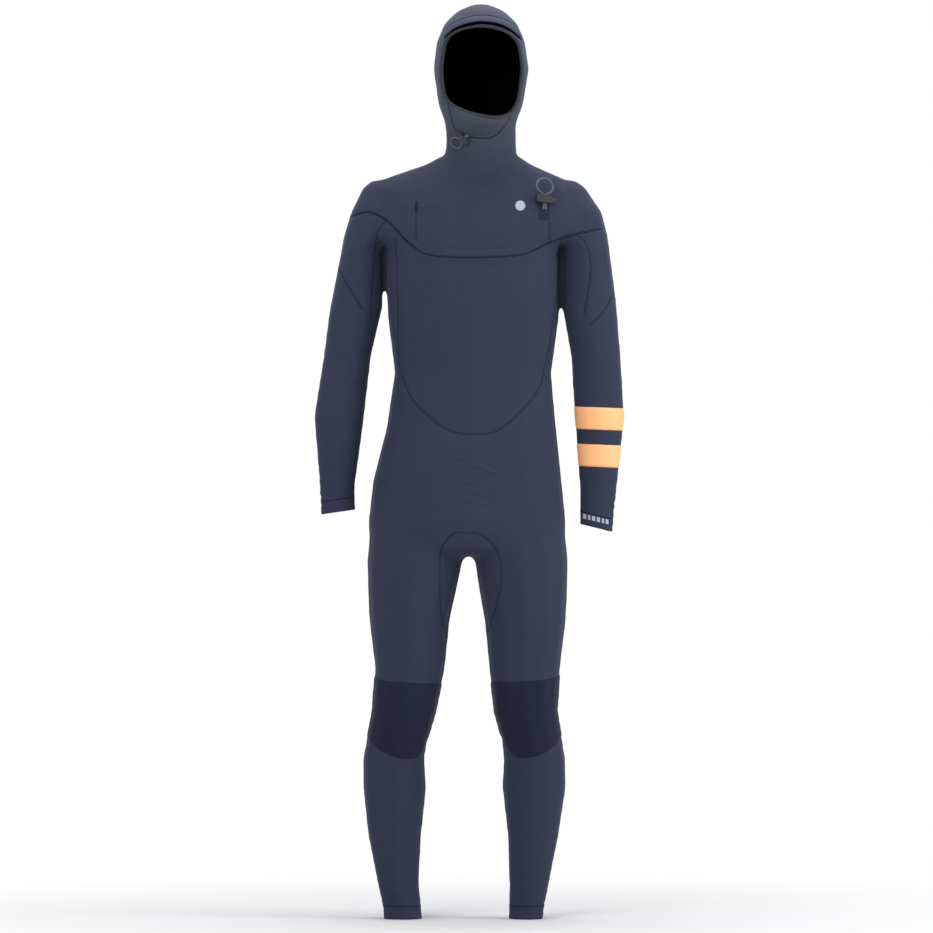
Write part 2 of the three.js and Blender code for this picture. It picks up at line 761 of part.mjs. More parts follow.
function addToggles() {
  const collar = new THREE.Group();
  addCordLock("collar", collar);
  seatOnFront(collar, 136, 1350, 10);
  const chin = new THREE.Group();
  const chinTurned = new THREE.Group();
  chinTurned.rotation.y = (-132 * Math.PI) / 180;
  chinTurned.scale.setScalar(chinLockScale);
  addCordLock("chin", chinTurned);
  chin.add(chinTurned);
  seatOnFront(chin, -10, 1468, 8);
  const tabOutline = [[129, 1316], [146, 1316], [146, 1330], [129, 1330]];
  add("toggle_tab", onFront(layer(clearance, clearance + 1.6), tabOutline), seamSeal);
}

addPanels();
addFaceTrim();
addZip();
addZipCovers();
addPrints();
addToggles();
suit.position.set(-originPoint[0], -originPoint[1], -originPoint[2]);

export default suit;
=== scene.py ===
import json
import math

import bmesh
import bpy
import numpy as np
from mathutils import Matrix, Vector
from mathutils.bvhtree import BVHTree


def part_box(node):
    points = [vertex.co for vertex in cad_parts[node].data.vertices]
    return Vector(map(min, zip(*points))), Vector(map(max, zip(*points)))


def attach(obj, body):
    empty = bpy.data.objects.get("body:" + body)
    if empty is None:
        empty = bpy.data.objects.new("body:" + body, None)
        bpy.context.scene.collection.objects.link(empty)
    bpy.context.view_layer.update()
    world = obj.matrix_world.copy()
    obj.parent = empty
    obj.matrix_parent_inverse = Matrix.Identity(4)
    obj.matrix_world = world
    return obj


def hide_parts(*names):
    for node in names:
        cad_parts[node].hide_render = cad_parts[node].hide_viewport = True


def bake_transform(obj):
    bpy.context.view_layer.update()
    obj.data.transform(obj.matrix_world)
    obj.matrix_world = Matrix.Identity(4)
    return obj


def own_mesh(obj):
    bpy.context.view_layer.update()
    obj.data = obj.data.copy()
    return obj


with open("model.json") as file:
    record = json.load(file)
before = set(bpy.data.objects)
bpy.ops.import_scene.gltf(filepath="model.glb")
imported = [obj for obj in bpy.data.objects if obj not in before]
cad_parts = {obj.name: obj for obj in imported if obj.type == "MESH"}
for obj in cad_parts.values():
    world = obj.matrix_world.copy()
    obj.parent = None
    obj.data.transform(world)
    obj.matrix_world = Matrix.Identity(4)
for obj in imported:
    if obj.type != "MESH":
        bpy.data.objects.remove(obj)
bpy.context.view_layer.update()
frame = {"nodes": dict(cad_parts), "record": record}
cadNodes = frame["nodes"]

# Every place below is in millimetres on the standing suit: x across, y back, z above the ankle
# hems. at() turns it into the frame's metres, whose origin lies between the shoulders.
suitOrigin = (18, 0, 1400)


def at(x, y, z):
    return Vector(((x - suitOrigin[0]) / 1000, (y - suitOrigin[1]) / 1000, (z - suitOrigin[2]) / 1000))


def inMillimetres(points):
    return points * 1000 + np.array(suitOrigin)


def addObject(name, data):
    made = bpy.data.objects.new(name, data)
    bpy.context.scene.collection.objects.link(made)
    return made


# The camera comes first.
viewSettings = {"distance": 16.0, "fieldWidth": 1.7577, "eyeHeight": 1000, "aimX": -6.6, "aimZ": 851.6}


def makeCamera():
    cameraData = bpy.data.cameras.new("suitCamera")
    cameraData.sensor_width = 36
    cameraData.lens = cameraData.sensor_width * viewSettings["distance"] / viewSettings["fieldWidth"]
    camera = addObject("suitCamera", cameraData)
    aim = at(viewSettings["aimX"], 0, viewSettings["aimZ"])
    camera.location = at(viewSettings["aimX"], -1000 * viewSettings["distance"], viewSettings["eyeHeight"])
    camera.rotation_euler = (aim - camera.location).to_track_quat("-Z", "Y").to_euler()
    bpy.context.scene.camera = camera


# A node's inputs: each takes a value of its own or another node's output.
def feed(tree, node, inputs):
    for name, value in inputs.items():
        if isinstance(value, bpy.types.NodeSocket):
            tree.links.new(value, node.inputs[name])
        else:
            node.inputs[name].default_value = value


def addNode(tree, kind, inputs={}, **settings):
    made = tree.nodes.new("ShaderNode" + kind)
    for name, value in settings.items():
        setattr(made, name, value)
    feed(tree, made, inputs)
    return made


def mathNode(tree, operation, first, second):
    return addNode(tree, "Math", {0: first, 1: second}, operation=operation).outputs[0]


def mixColours(tree, share, first, second):
    return addNode(tree, "Mix", {0: share, 6: first, 7: second}, data_type="RGBA").outputs[2]


def objectNoise(tree, scale, detail, roughness=0.5):
    place = addNode(tree, "TexCoord").outputs["Object"]
    noise = {"Scale": scale, "Detail": detail, "Roughness": roughness, "Vector": place}
    return addNode(tree, "TexNoise", noise).outputs["Fac"]


# Shader groups that the finishes share.
def startGroup(name, inputs, outputs):
    group = bpy.data.node_groups.new(name, "ShaderNodeTree")
    for socketName, value in inputs.items():
        kind = "NodeSocketColor" if isinstance(value, tuple) else "NodeSocketFloat"
        group.interface.new_socket(socketName, in_out="INPUT", socket_type=kind).default_value = value
    for socketName in outputs:
        kind = "NodeSocketColor" if socketName == "Color" else "NodeSocketFloat"
        group.interface.new_socket(socketName, in_out="OUTPUT", socket_type=kind)
    return group, group.nodes.new("NodeGroupInput").outputs, group.nodes.new("NodeGroupOutput")


def makeKnit():
    group, given, leave = startGroup("knitWeave", {"Loops per metre": 900.0, "Depth": 1.0}, ["Height"])
    place = addNode(group, "TexCoord").outputs["Object"]
    stretch = addNode(group, "VectorMath", {0: place, 1: (1, 1, 0.62)}, operation="MULTIPLY").outputs[0]
    loops = {"Vector": stretch, "Scale": given["Loops per metre"], "Randomness": 0.55}
    cells = addNode(group, "TexVoronoi", loops, feature="SMOOTH_F1").outputs["Distance"]
    feed(group, leave, {"Height": mathNode(group, "MULTIPLY", cells, given["Depth"])})
    return group


def makeMottle():
    colours = {"Base": (0.05, 0.05, 0.08, 1), "Shade": (0.03, 0.03, 0.05, 1), "Amount": 0.5}
    group, given, leave = startGroup("fabricMottle", colours, ["Color"])
    broad = mathNode(group, "MULTIPLY", objectNoise(group, 5, 3), 0.6)
    fine = mathNode(group, "MULTIPLY", objectNoise(group, 160, 4, 0.7), 0.4)
    share = mathNode(group, "MULTIPLY", mathNode(group, "ADD", broad, fine), given["Amount"])
    feed(group, leave, {"Color": mixColours(group, share, given["Base"], given["Shade"])})
    return group


def makeGrain():
    limits = {"Scale": 1200.0, "Low": 0.4, "High": 0.6}
    group, given, leave = startGroup("fineGrain", limits, ["Height", "Roughness"])
    speckle = objectNoise(group, given["Scale"], 3)
    smear = {"Value": objectNoise(group, 30, 3), "To Min": given["Low"], "To Max": given["High"]}
    feed(group, leave, {"Height": speckle, "Roughness": addNode(group, "MapRange", smear).outputs[0]})
    return group


# The finishes. Names with a capital are the shader's own sockets; bump is metres and strength.
cloth = {"mottle": 0.75, "grain": 1500.0, "roughness": (0.78, 0.92), "loops": 900.0, "depth": 1.0,
         "bump": (0.0004, 0.35), "Specular IOR Level": 0.14, "Sheen Weight": 0.08, "Sheen Roughness": 0.4,
         "Sheen Tint": (0.62, 0.66, 0.95, 1)}
rubber = {"mottle": 0.8, "grain": 900.0, "bump": (0.0003, 0.2)}
printed = {"mottle": 0.9, "grain": 900.0, "roughness": (0.5, 0.68), "loops": 700.0, "depth": 1.0,
           "bump": (0.0003, 0.3), "Specular IOR Level": 0.3}
moulded = {"mottle": 0.8, "grain": 2500.0, "roughness": (0.3, 0.45), "bump": (0.0001, 0.2)}
finishes = {
    "jersey": {**cloth, "base": (0.027, 0.031, 0.057), "shade": (0.0195, 0.0225, 0.044)},
    "hood_jersey": {**cloth, "base": (0.046, 0.055, 0.074), "shade": (0.033, 0.040, 0.055)},
    "brim": {**cloth, "base": (0.052, 0.061, 0.090), "shade": (0.040, 0.047, 0.070), "loops": 1200.0},
    "cord": {**cloth, "base": (0.110, 0.115, 0.145), "shade": (0.050, 0.053, 0.072),
             "loops": 1600.0, "depth": 1.5, "Sheen Weight": 0.1},
    "knee_rubber": {**rubber, "base": (0.008, 0.010, 0.030), "shade": (0.004, 0.005, 0.019), "grain": 700.0,
                    "roughness": (0.66, 0.82), "bump": (0.0003, 0.5), "Sheen Weight": 0.04,
                    "Specular IOR Level": 0.16},
    "smooth_rubber": {**rubber, "base": (0.026, 0.028, 0.034), "shade": (0.016, 0.018, 0.022),
                      "grain": 1200.0, "roughness": (0.50, 0.64), "bump": (0.0003, 0.15),
                      "Specular IOR Level": 0.15},
    "soft_seam": {**rubber, "base": (0.019, 0.022, 0.044), "shade": (0.013, 0.015, 0.033),
                  "roughness": (0.66, 0.80), "Specular IOR Level": 0.08},
    "seam_seal": {**rubber, "base": (0.013, 0.015, 0.031), "shade": (0.009, 0.010, 0.022),
                  "roughness": (0.62, 0.78), "Specular IOR Level": 0.06},
    "lining": {**rubber, "base": (0.0010, 0.0010, 0.0014), "shade": (0.0005, 0.0005, 0.0008),
               "grain": 600.0, "roughness": (0.95, 1.0), "bump": (0.0003, 0.1), "Specular IOR Level": 0.0},
    "orange_print": {**printed, "base": (0.90, 0.45, 0.20), "shade": (0.80, 0.37, 0.15)},
    "white_print": {**printed, "base": (0.36, 0.37, 0.44), "shade": (0.26, 0.27, 0.34)},
    "lock_plastic": {**moulded, "base": (0.022, 0.024, 0.033), "shade": (0.012, 0.013, 0.019)},
    "spring_steel": {**moulded, "base": (0.42, 0.43, 0.45), "shade": (0.30, 0.30, 0.32),
                     "roughness": (0.25, 0.4), "Metallic": 1.0},
    "zip_plastic": {**moulded, "base": (0.020, 0.021, 0.030), "shade": (0.012, 0.013, 0.019)},
}
neckFade = {"From Min": -0.03, "From Max": 0.13}  # heights in the frame's metres


# The body's colour turns into the hood's over the neck.
def fadeAtNeck(tree, mottle):
    place = addNode(tree, "TexCoord").outputs["Object"]
    height = addNode(tree, "SeparateXYZ", {0: place}).outputs["Z"]
    rise = addNode(tree, "MapRange", {**neckFade, "Value": height}, interpolation_type="SMOOTHSTEP")
    for tone in ("base", "shade"):
        ends = [(*finishes[name][tone], 1) for name in ("jersey", "hood_jersey")]
        feed(tree, mottle, {tone.capitalize(): mixColours(tree, rise.outputs[0], *ends)})


def startMaterial(name):
    material = bpy.data.materials.new(name)
    material.use_nodes = True
    return material, material.node_tree, material.node_tree.nodes["Principled BSDF"]


def makeFinish(name):
    finish = finishes[name]
    material, tree, shader = startMaterial(name)
    colours = {"Base": (*finish["base"], 1), "Shade": (*finish["shade"], 1), "Amount": finish["mottle"]}
    mottle = addNode(tree, "Group", colours, node_tree=groups["mottle"])
    if name.endswith("jersey"):
        fadeAtNeck(tree, mottle)
    limits = {"Scale": finish["grain"], "Low": finish["roughness"][0], "High": finish["roughness"][1]}
    grain = addNode(tree, "Group", limits, node_tree=groups["grain"])
    height = grain.outputs["Height"]
    if "loops" in finish:
        weave = {"Loops per metre": finish["loops"], "Depth": finish["depth"]}
        height = addNode(tree, "Group", weave, node_tree=groups["knit"]).outputs["Height"]
    distance, strength = finish["bump"]
    bump = addNode(tree, "Bump", {"Distance": distance, "Strength": strength, "Height": height})
    feed(tree, shader, {socket: value for socket, value in finish.items() if socket[0].isupper()})
    feed(tree, shader, {"Base Color": mottle.outputs["Color"], "Roughness": grain.outputs["Roughness"],
                        "Normal": bump.outputs["Normal"]})
    return material


# A smooth or flat mesh from points and faces.
def newMesh(name, points, faces, material, smooth=True):
    data = bpy.data.meshes.new(name)
    data.from_pydata([tuple(p) for p in points], [], [tuple(int(i) for i in f) for f in faces])
    data.materials.append(material)
    data.polygons.foreach_set("use_smooth", [smooth] * len(data.polygons))
    return addObject(name, data)


def faceOut(made):
    shape = bmesh.new()
    shape.from_mesh(made.data)
    bmesh.ops.recalc_face_normals(shape, faces=shape.faces)
    shape.to_mesh(made.data)
    shape.free()
    return made


def readArray(items, attribute, width, kind=float):
    flat = np.zeros(len(items) * width, kind)
    items.foreach_get(attribute, flat)
    return flat.reshape(-1, width)


def asQuads(faces):
    return np.array([f if len(f) == 4 else (*f, f[-1]) for f in faces])


# A round curve through given points: Catmull-Rom, steps for each span.
def roundLine(points, steps=8, closed=False):
    pts = [np.array(p, float) for p in points]
    count = len(pts)
    made = []
    spans = count if closed else count - 1
    for i in range(spans):
        around = [(i + k) % count if closed else min(max(i + k, 0), count - 1) for k in (-1, 0, 1, 2)]
        a, b, c, d = (pts[k] for k in around)
        for step in range(steps):
            t = step / steps
            made.append(0.5 * (2 * b + (c - a) * t + (2 * a - 5 * b + 4 * c - d) * t**2
                               + (3 * b - a - 3 * c + d) * t**3))
    if not closed:
        made.append(pts[-1])
    return made


# The drawcords, in their lock's own millimetres: a loop that leaves the lock and goes back in.
cordSettings = {"diameter": 3.5, "lockDepth": 12, "lockHeight": 16, "ringRadius": 16, "strands": (0.3, 4.7),
                "ringLift": 5, "ringPoints": 11, "ringFrom": 232, "ringStep": 28.4}
collarPlace = {"spot": (136, -80.27, 1350), "lean": -25.72, "turn": 17.87, "roll": 0, "size": 1}
chinPlace = {"spot": (-10, -64.57, 1468), "lean": 30.96, "turn": -29.37, "roll": -132, "size": 0.7}


def lockMatrix(place):
    lean = Matrix.Rotation(math.radians(place["lean"]), 4, "X")
    turn = Matrix.Rotation(math.radians(place["turn"]), 4, "Z")
    roll = Matrix.Rotation(math.radians(place["roll"]), 4, "Y")
    grow = Matrix.Scale(place["size"] / 1000, 4)
    return Matrix.Translation(at(*place["spot"])) @ lean @ turn @ roll @ grow


def cordRoute():
    x0, x1 = cordSettings["strands"]
    back = -cordSettings["lockDepth"] / 2
    radius = cordSettings["ringRadius"]
    ringX = (x0 + x1) / 2
    ringZ = cordSettings["lockHeight"] / 2 + radius + cordSettings["ringLift"]
    ring = []
    for i in range(cordSettings["ringPoints"]):
        turn = math.radians(cordSettings["ringFrom"] - cordSettings["ringStep"] * i)
        ring.append((ringX + radius * math.cos(turn), back, ringZ + radius * math.sin(turn)))
    tail = [(-19, -4.6), (-14, -5), (-9, back), (0, back), (6, back), (11, back)]
    return [(x0, y, z) for z, y in tail] + ring + [(x1, y, z) for z, y in reversed(tail)]


def makeCord(name, node, place, body):
    matrix = lockMatrix(place)
    line = [matrix @ Vector(p) for p in roundLine(cordRoute(), 4)]
    curve = bpy.data.curves.new(name, "CURVE")
    curve.dimensions = "3D"
    curve.bevel_depth = cordSettings["diameter"] * place["size"] / 2000
    curve.bevel_resolution = 5
    curve.use_fill_caps = True
    spline = curve.splines.new("POLY")
    spline.points.add(len(line) - 1)
    for point, spot in zip(spline.points, line):
        point.co = (*spot, 1)
    spline.use_smooth = True
    curve.materials.append(materials["cord"])
    made = addObject(name, curve)
    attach(made, body)
    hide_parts(node)


# The neoprene skin: the panels' closed outside, at body size.
panelEndings = ("_panel", "_sleeve", "_cuff", "_bib", "_yoke", "_pad", "_back")
panelNodes = [n for n in cadNodes if n.endswith(panelEndings)] + ["crotch_gusset"]
skinSettings = {
    "voxel": 0.004, "passes": 170, "keepBelow": 0.018, "thickness": 0.0045, "overshoot": 0.06,
}
armNodes = ("_shoulder_panel", "_upper_sleeve", "_elbow_panel", "_forearm_panel", "_wrist_cuff")
legNodes = ("_hip_panel", "_thigh_panel", "_knee_pad", "_knee_back", "_shin_panel")
hemHeights = {"right_wrist_cuff": 766, "left_wrist_cuff": 736, "right_ankle_cuff": 0, "left_ankle_cuff": 0}
hemSlants = {"right_wrist_cuff": 0.14, "left_wrist_cuff": -0.24}  # rise to the suit's left, per unit across
hemSettings = {"below": 0.08, "above": 0.022, "beside": 0.006, "halfWidth": 0.030}  # metres around a hem


def addHull(shape, points):
    made = bmesh.new()
    for p in points:
        made.verts.new(p)
    result = bmesh.ops.convex_hull(made, input=made.verts)
    loose = [g for g in result["geom_interior"] if isinstance(g, bmesh.types.BMVert)]
    bmesh.ops.delete(made, geom=loose, context="VERTS")
    data = bpy.data.meshes.new("hull")
    made.to_mesh(data)
    made.free()
    shape.from_mesh(data)
    bpy.data.meshes.remove(data)


def pointsOf(node):
    return readArray(cadNodes[node].data.vertices, "co", 3)


# A solid core for one stretch of the suit, made of level slices a little inside its outside.
coreSettings = {"step": 0.006, "inset": 0.0024, "around": 40, "leastCuts": 6, "leastWidth": 0.012,
                "endGap": 0.0035, "torsoFrom": 694}
coreGroups = {
    "torso": ("_bib", "_yoke", "front_torso_panel", "waist_panel", "upper_back_panel", "lower_back_panel",
              "neck_panel", "crotch_gusset"),
    "head": ("hood_front_panel", "hood_back_panel", "chin_panel"),
    "leftArm": tuple("left" + n for n in armNodes),
    "rightArm": tuple("right" + n for n in armNodes),
    "leftLeg": tuple("left" + n for n in legNodes),
    "rightLeg": tuple("right" + n for n in legNodes),
}


def hullLines(flat):
    order = flat[np.lexsort((flat[:, 1], flat[:, 0]))]
    made = []
    for run in (order, order[::-1]):
        chain = []
        for p in run:
            while len(chain) > 1 and ((chain[-1][0] - chain[-2][0]) * (p[1] - chain[-2][1])
                                      - (chain[-1][1] - chain[-2][1]) * (p[0] - chain[-2][0])) <= 1e-12:
                chain.pop()
            chain.append(p)
        made += chain[:-1]
    return np.array(made)


def sliceRing(starts, ends, level):
    crossing = (starts[:, 2] - level) * (ends[:, 2] - level) < 0
    if crossing.sum() < coreSettings["leastCuts"]:
        return None
    a, b = starts[crossing], ends[crossing]
    share = ((level - a[:, 2]) / (b[:, 2] - a[:, 2]))[:, None]
    flat = (a + (b - a) * share)[:, :2]
    if np.ptp(flat, axis=0).min() < coreSettings["leastWidth"]:
        return None
    hull = hullLines(flat)
    centre = hull.mean(axis=0)
    along = np.roll(hull, -1, axis=0) - hull
    square = np.stack((along[:, 1], -along[:, 0]), axis=1)
    square /= np.maximum(np.linalg.norm(square, axis=1, keepdims=True), 1e-12)
    reach = ((hull - centre) * square).sum(axis=1) - coreSettings["inset"]
    turns = np.linspace(0, 2 * math.pi, coreSettings["around"], endpoint=False)
    ways = np.stack((np.cos(turns), np.sin(turns)), axis=1)
    facing = ways @ square.T
    with np.errstate(divide="ignore"):
        radius = np.where(facing > 1e-6, np.maximum(reach, 0.001) / facing, 9).min(axis=1)
    ring = centre + ways * radius[:, None]
    return [(x, y, level) for x, y in ring]


def addCore(shape, endings, lowest):
    starts, ends = [], []
    for node in panelNodes:
        if node.endswith(endings):
            points = pointsOf(node)
            pairs = readArray(cadNodes[node].data.edges, "vertices", 2, np.int64)
            starts.append(points[pairs[:, 0]])
            ends.append(points[pairs[:, 1]])
    starts, ends = np.vstack(starts), np.vstack(ends)
    gap = coreSettings["endGap"]
    low, high = max(starts[:, 2].min() + gap, lowest), starts[:, 2].max() - gap
    levels = np.linspace(low, high, max(2, round((high - low) / coreSettings["step"])))
    rings = [r for r in (sliceRing(starts, ends, z) for z in levels) if r]
    rows = [[shape.verts.new(p) for p in ring] for ring in rings]
    around = coreSettings["around"]
    for below, above in zip(rows, rows[1:]):
        for k in range(around):
            n = (k + 1) % around
            shape.faces.new((below[k], below[n], above[n], above[k]))
    shape.faces.new(list(reversed(rows[0])))
    shape.faces.new(rows[-1])


def rawSkin():
    shape = bmesh.new()
    for node in panelNodes:
        shape.from_mesh(cadNodes[node].data)
    for node in hemHeights:
        points = pointsOf(node)
        low = points[points[:, 2] < points[:, 2].min() + 0.002] - np.array((0, 0, skinSettings["overshoot"]))
        addHull(shape, [*points, *low])
    for name, endings in coreGroups.items():
        addCore(shape, endings, at(0, 0, coreSettings["torsoFrom"]).z if name == "torso" else -2)
    data = bpy.data.meshes.new("rawSkin")
    shape.to_mesh(data)
    shape.free()
    made = addObject("rawSkin", data)
    remesh = made.modifiers.new("skin", "REMESH")
    remesh.mode = "VOXEL"
    remesh.voxel_size = skinSettings["voxel"]
    graph = bpy.context.evaluated_depsgraph_get()
    final = bpy.data.meshes.new_from_object(made.evaluated_get(graph))
    bpy.data.objects.remove(made)
    points = readArray(final.vertices, "co", 3)
    edges = readArray(final.edges, "vertices", 2, np.int64)
    faces = [tuple(f.vertices) for f in final.polygons]
    bpy.data.meshes.remove(final)
    return points, edges, faces


def outerOnly(points, edges, faces):
    label = np.arange(len(points))
    while True:  # each vertex takes its neighbours' lowest label, with jumps to the label's own
        low = np.minimum(label[edges[:, 0]], label[edges[:, 1]])
        fresh = label.copy()
        np.minimum.at(fresh, edges[:, 0], low)
        np.minimum.at(fresh, edges[:, 1], low)
        fresh = np.minimum(fresh, fresh[fresh])
        fresh = np.minimum(fresh, fresh[fresh])
        if (fresh == label).all():
            break
        label = fresh
    best, keep = -1, None
    for island in np.unique(label):
        inside = label == island
        span = np.ptp(points[inside], axis=0).prod() if inside.sum() > 100 else 0
        if span > best:
            best, keep = span, inside
    number = np.cumsum(keep) - 1
    edges = number[edges[keep[edges[:, 0]]]]
    faces = [tuple(int(number[i]) for i in f) for f in faces if keep[f[0]]]
    return points[keep], edges, faces


# Low-pass smoothing: takes out the steps and flats and keeps the body's size.
def calm(points, edges, passes, keepBelow):
    count = len(points)
    degree = np.maximum(np.bincount(edges.ravel(), minlength=count), 1)[:, None]
    grow = 1 / (keepBelow - 2)
    for step in range(round(2 * passes)):
        factor = 0.5 if step % 2 == 0 else grow
        total = np.zeros_like(points)
        for axis in range(3):
            total[:, axis] = (np.bincount(edges[:, 0], points[edges[:, 1], axis], count)
                              + np.bincount(edges[:, 1], points[edges[:, 0], axis], count))
        points = points + factor * (total / degree - points)
    return points


# More of the same smoothing over the hood and over the hips and crotch, fading out at each end.
calmZones = [
    # heights: fade in, full from, full to, fade out; passes; 1 for a plain pass that also shrinks
    (1440, 1480, 1800, 1900, 420, 0),
    (560, 620, 790, 850, 320, 0),
    (630, 665, 725, 770, 24, 1),
]


def calmMore(points, edges):
    for fadeIn, fullFrom, fullTo, fadeOut, passes, plain in calmZones:
        z = points[:, 2] * 1000 + suitOrigin[2]
        chosen = (z > fadeIn) & (z < fadeOut)
        share = np.minimum(np.clip((z - fadeIn) / (fullFrom - fadeIn), 0, 1),
                           np.clip((fadeOut - z) / (fadeOut - fullTo), 0, 1))[chosen][:, None]
        number = np.cumsum(chosen) - 1
        inside = number[edges[chosen[edges].all(axis=1)]]
        part = points[chosen]
        for step in range(passes):
            part = part + share * (calm(part, inside, 1 - 0.5 * plain, skinSettings["keepBelow"]) - part)
        points = points.copy()
        points[chosen] = part
    return points


def cornerNormals(points, faces):
    quads = asQuads(faces)
    across = np.cross(points[quads[:, 2]] - points[quads[:, 0]], points[quads[:, 3]] - points[quads[:, 1]])
    normals = np.zeros_like(points)
    for k in range(4):
        np.add.at(normals, quads[:, k], across)
    return normals / np.maximum(np.linalg.norm(normals, axis=1, keepdims=True), 1e-12)


# Soft folds: long low waves that lie across the body where the neoprene bunches.
foldPlaces = [
    # centre x, y, z, reach across, reach up, wave length, height, slant, in millimetres
    (15, -100, 835, 85, 75, 17, 1.0, 0.06),
    (15, -100, 730, 80, 30, 22, 0.4, 0.0),
    (-150, -30, 1280, 45, 55, 15, 1.1, -0.9),
    (160, -30, 1275, 45, 55, 15, 1.1, 0.9),
    (-110, -60, 1320, 50, 38, 13, 0.7, -0.5),
    (130, -60, 1310, 45, 38, 13, 0.7, 0.5),
    (-200, -40, 1220, 40, 90, 34, 0.4, -0.7),
    (215, -40, 1220, 40, 90, 34, 0.4, 0.7),
    (-240, -10, 1030, 45, 65, 20, 0.5, 0.2),
    (238, -10, 1030, 45, 65, 20, 0.5, -0.2),
    (-120, 40, 370, 70, 80, 18, 1.0, 0.0),
    (106, 40, 370, 70, 80, 18, 1.0, 0.0),
    (20, 80, 900, 130, 90, 34, 1.3, 0.0),
    (20, 60, 1440, 75, 38, 17, 1.1, 0.1),
    (-150, 0, 40, 45, 45, 15, 0.5, 0.1),
    (120, 0, 40, 45, 45, 15, 0.5, -0.1),
    (-273, 0, 800, 45, 45, 16, 0.6, 0.1),
    (262, 0, 770, 45, 45, 16, 0.6, -0.1),
]


grooveSettings = {"depth": 1.0, "reach": 6.5}  # the dip along each glued seam, in millimetres


# A slow drift keeps the folds from lying in straight lines.
def addFolds(points, normals):
    mm = inMillimetres(points)
    x, y, z = mm.T
    lift = np.zeros(len(points))
    drift = 6 * np.sin(x / 31 + z / 47) + 4 * np.sin(x / 13 - z / 29 + y / 23)
    for number, (cx, cy, cz, across, up, wave, height, slant) in enumerate(foldPlaces):
        reach = ((x - cx) / across) ** 2 + ((y - cy) / 90) ** 2 + ((z - cz) / up) ** 2
        share = np.exp(-1.4 * reach)
        phase = 2 * math.pi * (z + slant * (x - cx) + drift + 0.12 * y) / wave + number
        ridge = np.sin(phase) + 0.45 * np.sin(1.73 * phase + x / 17)
        lift += height * share * ridge
    lift += 0.18 * np.sin(x / 19 + 0.4 * np.sin(z / 37)) * np.sin(z / 23 + y / 31)
    for seams, side in ((frontSeams, -1), (backSeams, 1)):
        facing = normals[:, 1] * side > 0.05
        for _, line, _, share in seams:
            path = np.array([p[:] for p in roundLine(line, 16)])
            near = (facing & (x > path[:, 0].min() - 20) & (x < path[:, 0].max() + 20)
                    & (z > path[:, 1].min() - 20) & (z < path[:, 1].max() + 20))
            gap = np.full(len(points), 99.0)
            gap[near] = np.sqrt(((mm[near][:, None, ::2] - path[None]) ** 2).sum(axis=2)).min(axis=1)
            lift -= grooveSettings["depth"] * share * np.exp(-((gap / grooveSettings["reach"]) ** 2))
    return points + normals * (lift / 1000)[:, None]


# The face opening as the front shows it, x and z, and the head's middle behind it.
faceOutline = [
    (-52, 1600), (-51, 1568), (-45, 1545), (-30, 1531), (-8, 1521), (14, 1514), (38, 1509), (62, 1510),
    (80, 1520), (90, 1542), (95, 1572), (96, 1608), (91, 1646), (66, 1666), (24, 1674), (-22, 1668),
    (-47, 1648),
]
faceMiddle = at(22, 10, 1600)

# The closed outline, rounded and moved out by so many millimetres.
def grown(outline, by):
    line = roundLine(outline, 8, closed=True)
    made = []
    for i, p in enumerate(line):
        along = line[(i + 1) % len(line)] - line[i - 1]
        along /= np.linalg.norm(along)
        made.append((p[0] + along[1] * by, p[1] - along[0] * by))
    return made


# The face opening's edge as turns about the head's middle and heights, evened out round the loop.
def faceLoop(by):
    turns, heights = [], []
    for x, z in grown(faceOutline, by):
        spot = onFront(x, z)[0]
        turns.append(math.atan2(spot.x - faceMiddle.x, faceMiddle.y - spot.y))
        heights.append(spot.z)
    turns = np.array(turns)
    for _ in range(3):
        turns = sum(np.roll(turns, k) for k in range(-3, 4)) / 7
    return list(zip(turns, heights))


def onFace(turn, height):
    return castOn(Vector((faceMiddle.x, faceMiddle.y, height)), Vector((math.sin(turn), -math.cos(turn), 0)))


def insideOutline(x, z, outline):
    inside = np.zeros(len(x), bool)
    for (ax, az), (bx, bz) in zip(outline, [*outline[1:], outline[0]]):
        crossing = (az > z) != (bz > z)
        with np.errstate(divide="ignore", invalid="ignore"):
            inside ^= crossing & (x < (bx - ax) * (z - az) / (bz - az) + ax)
    return inside


# Joint planes: a point's share of the way from one body to the next.
bends = {
    "neck": ("root", "hood", (20, 1412), (20, 1464)),
    "left_shoulder": ("root", "left_upper_arm", (171.7, 1225), (228.3, 1142.6)),
    "right_shoulder": ("root", "right_upper_arm", (-160.5, 1228), (-225.6, 1174.1)),
    "left_elbow": ("left_upper_arm", "left_forearm", (239, 1085), (239, 975)),
    "right_elbow": ("right_upper_arm", "right_forearm", (-235, 1085), (-235, 975)),
    "left_hip": ("root", "left_thigh", (0, 690), (76.5, 613.5)),
    "right_hip": ("root", "right_thigh", (0, 690), (-80, 610)),
    "left_knee": ("left_thigh", "left_shin", (106, 455), (106, 302)),
    "right_knee": ("right_thigh", "right_shin", (-125, 455), (-125, 302)),
}


def shareOf(bend, x, z):
    (ax, az), (bx, bz) = bends[bend][2:]
    length = (bx - ax) ** 2 + (bz - az) ** 2
    return ((x - ax) * (bx - ax) + (z - az) * (bz - az)) / length


def bendPiece(piece):
    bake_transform(piece)


def nodeTree(nodes):
    corners, tris, owner = [], [], []
    for node in nodes:
        data = cadNodes[node].data
        start = len(corners)
        corners.extend(v.co.copy() for v in data.vertices)
        for f in data.polygons:
            tris.append([start + i for i in f.vertices])
            owner.append(node)
    return BVHTree.FromPolygons(corners, tris), owner


panelSplits = {"hoodBackFrom": 0.018, "waistBelow": -0.3}  # y and z in the frame's metres
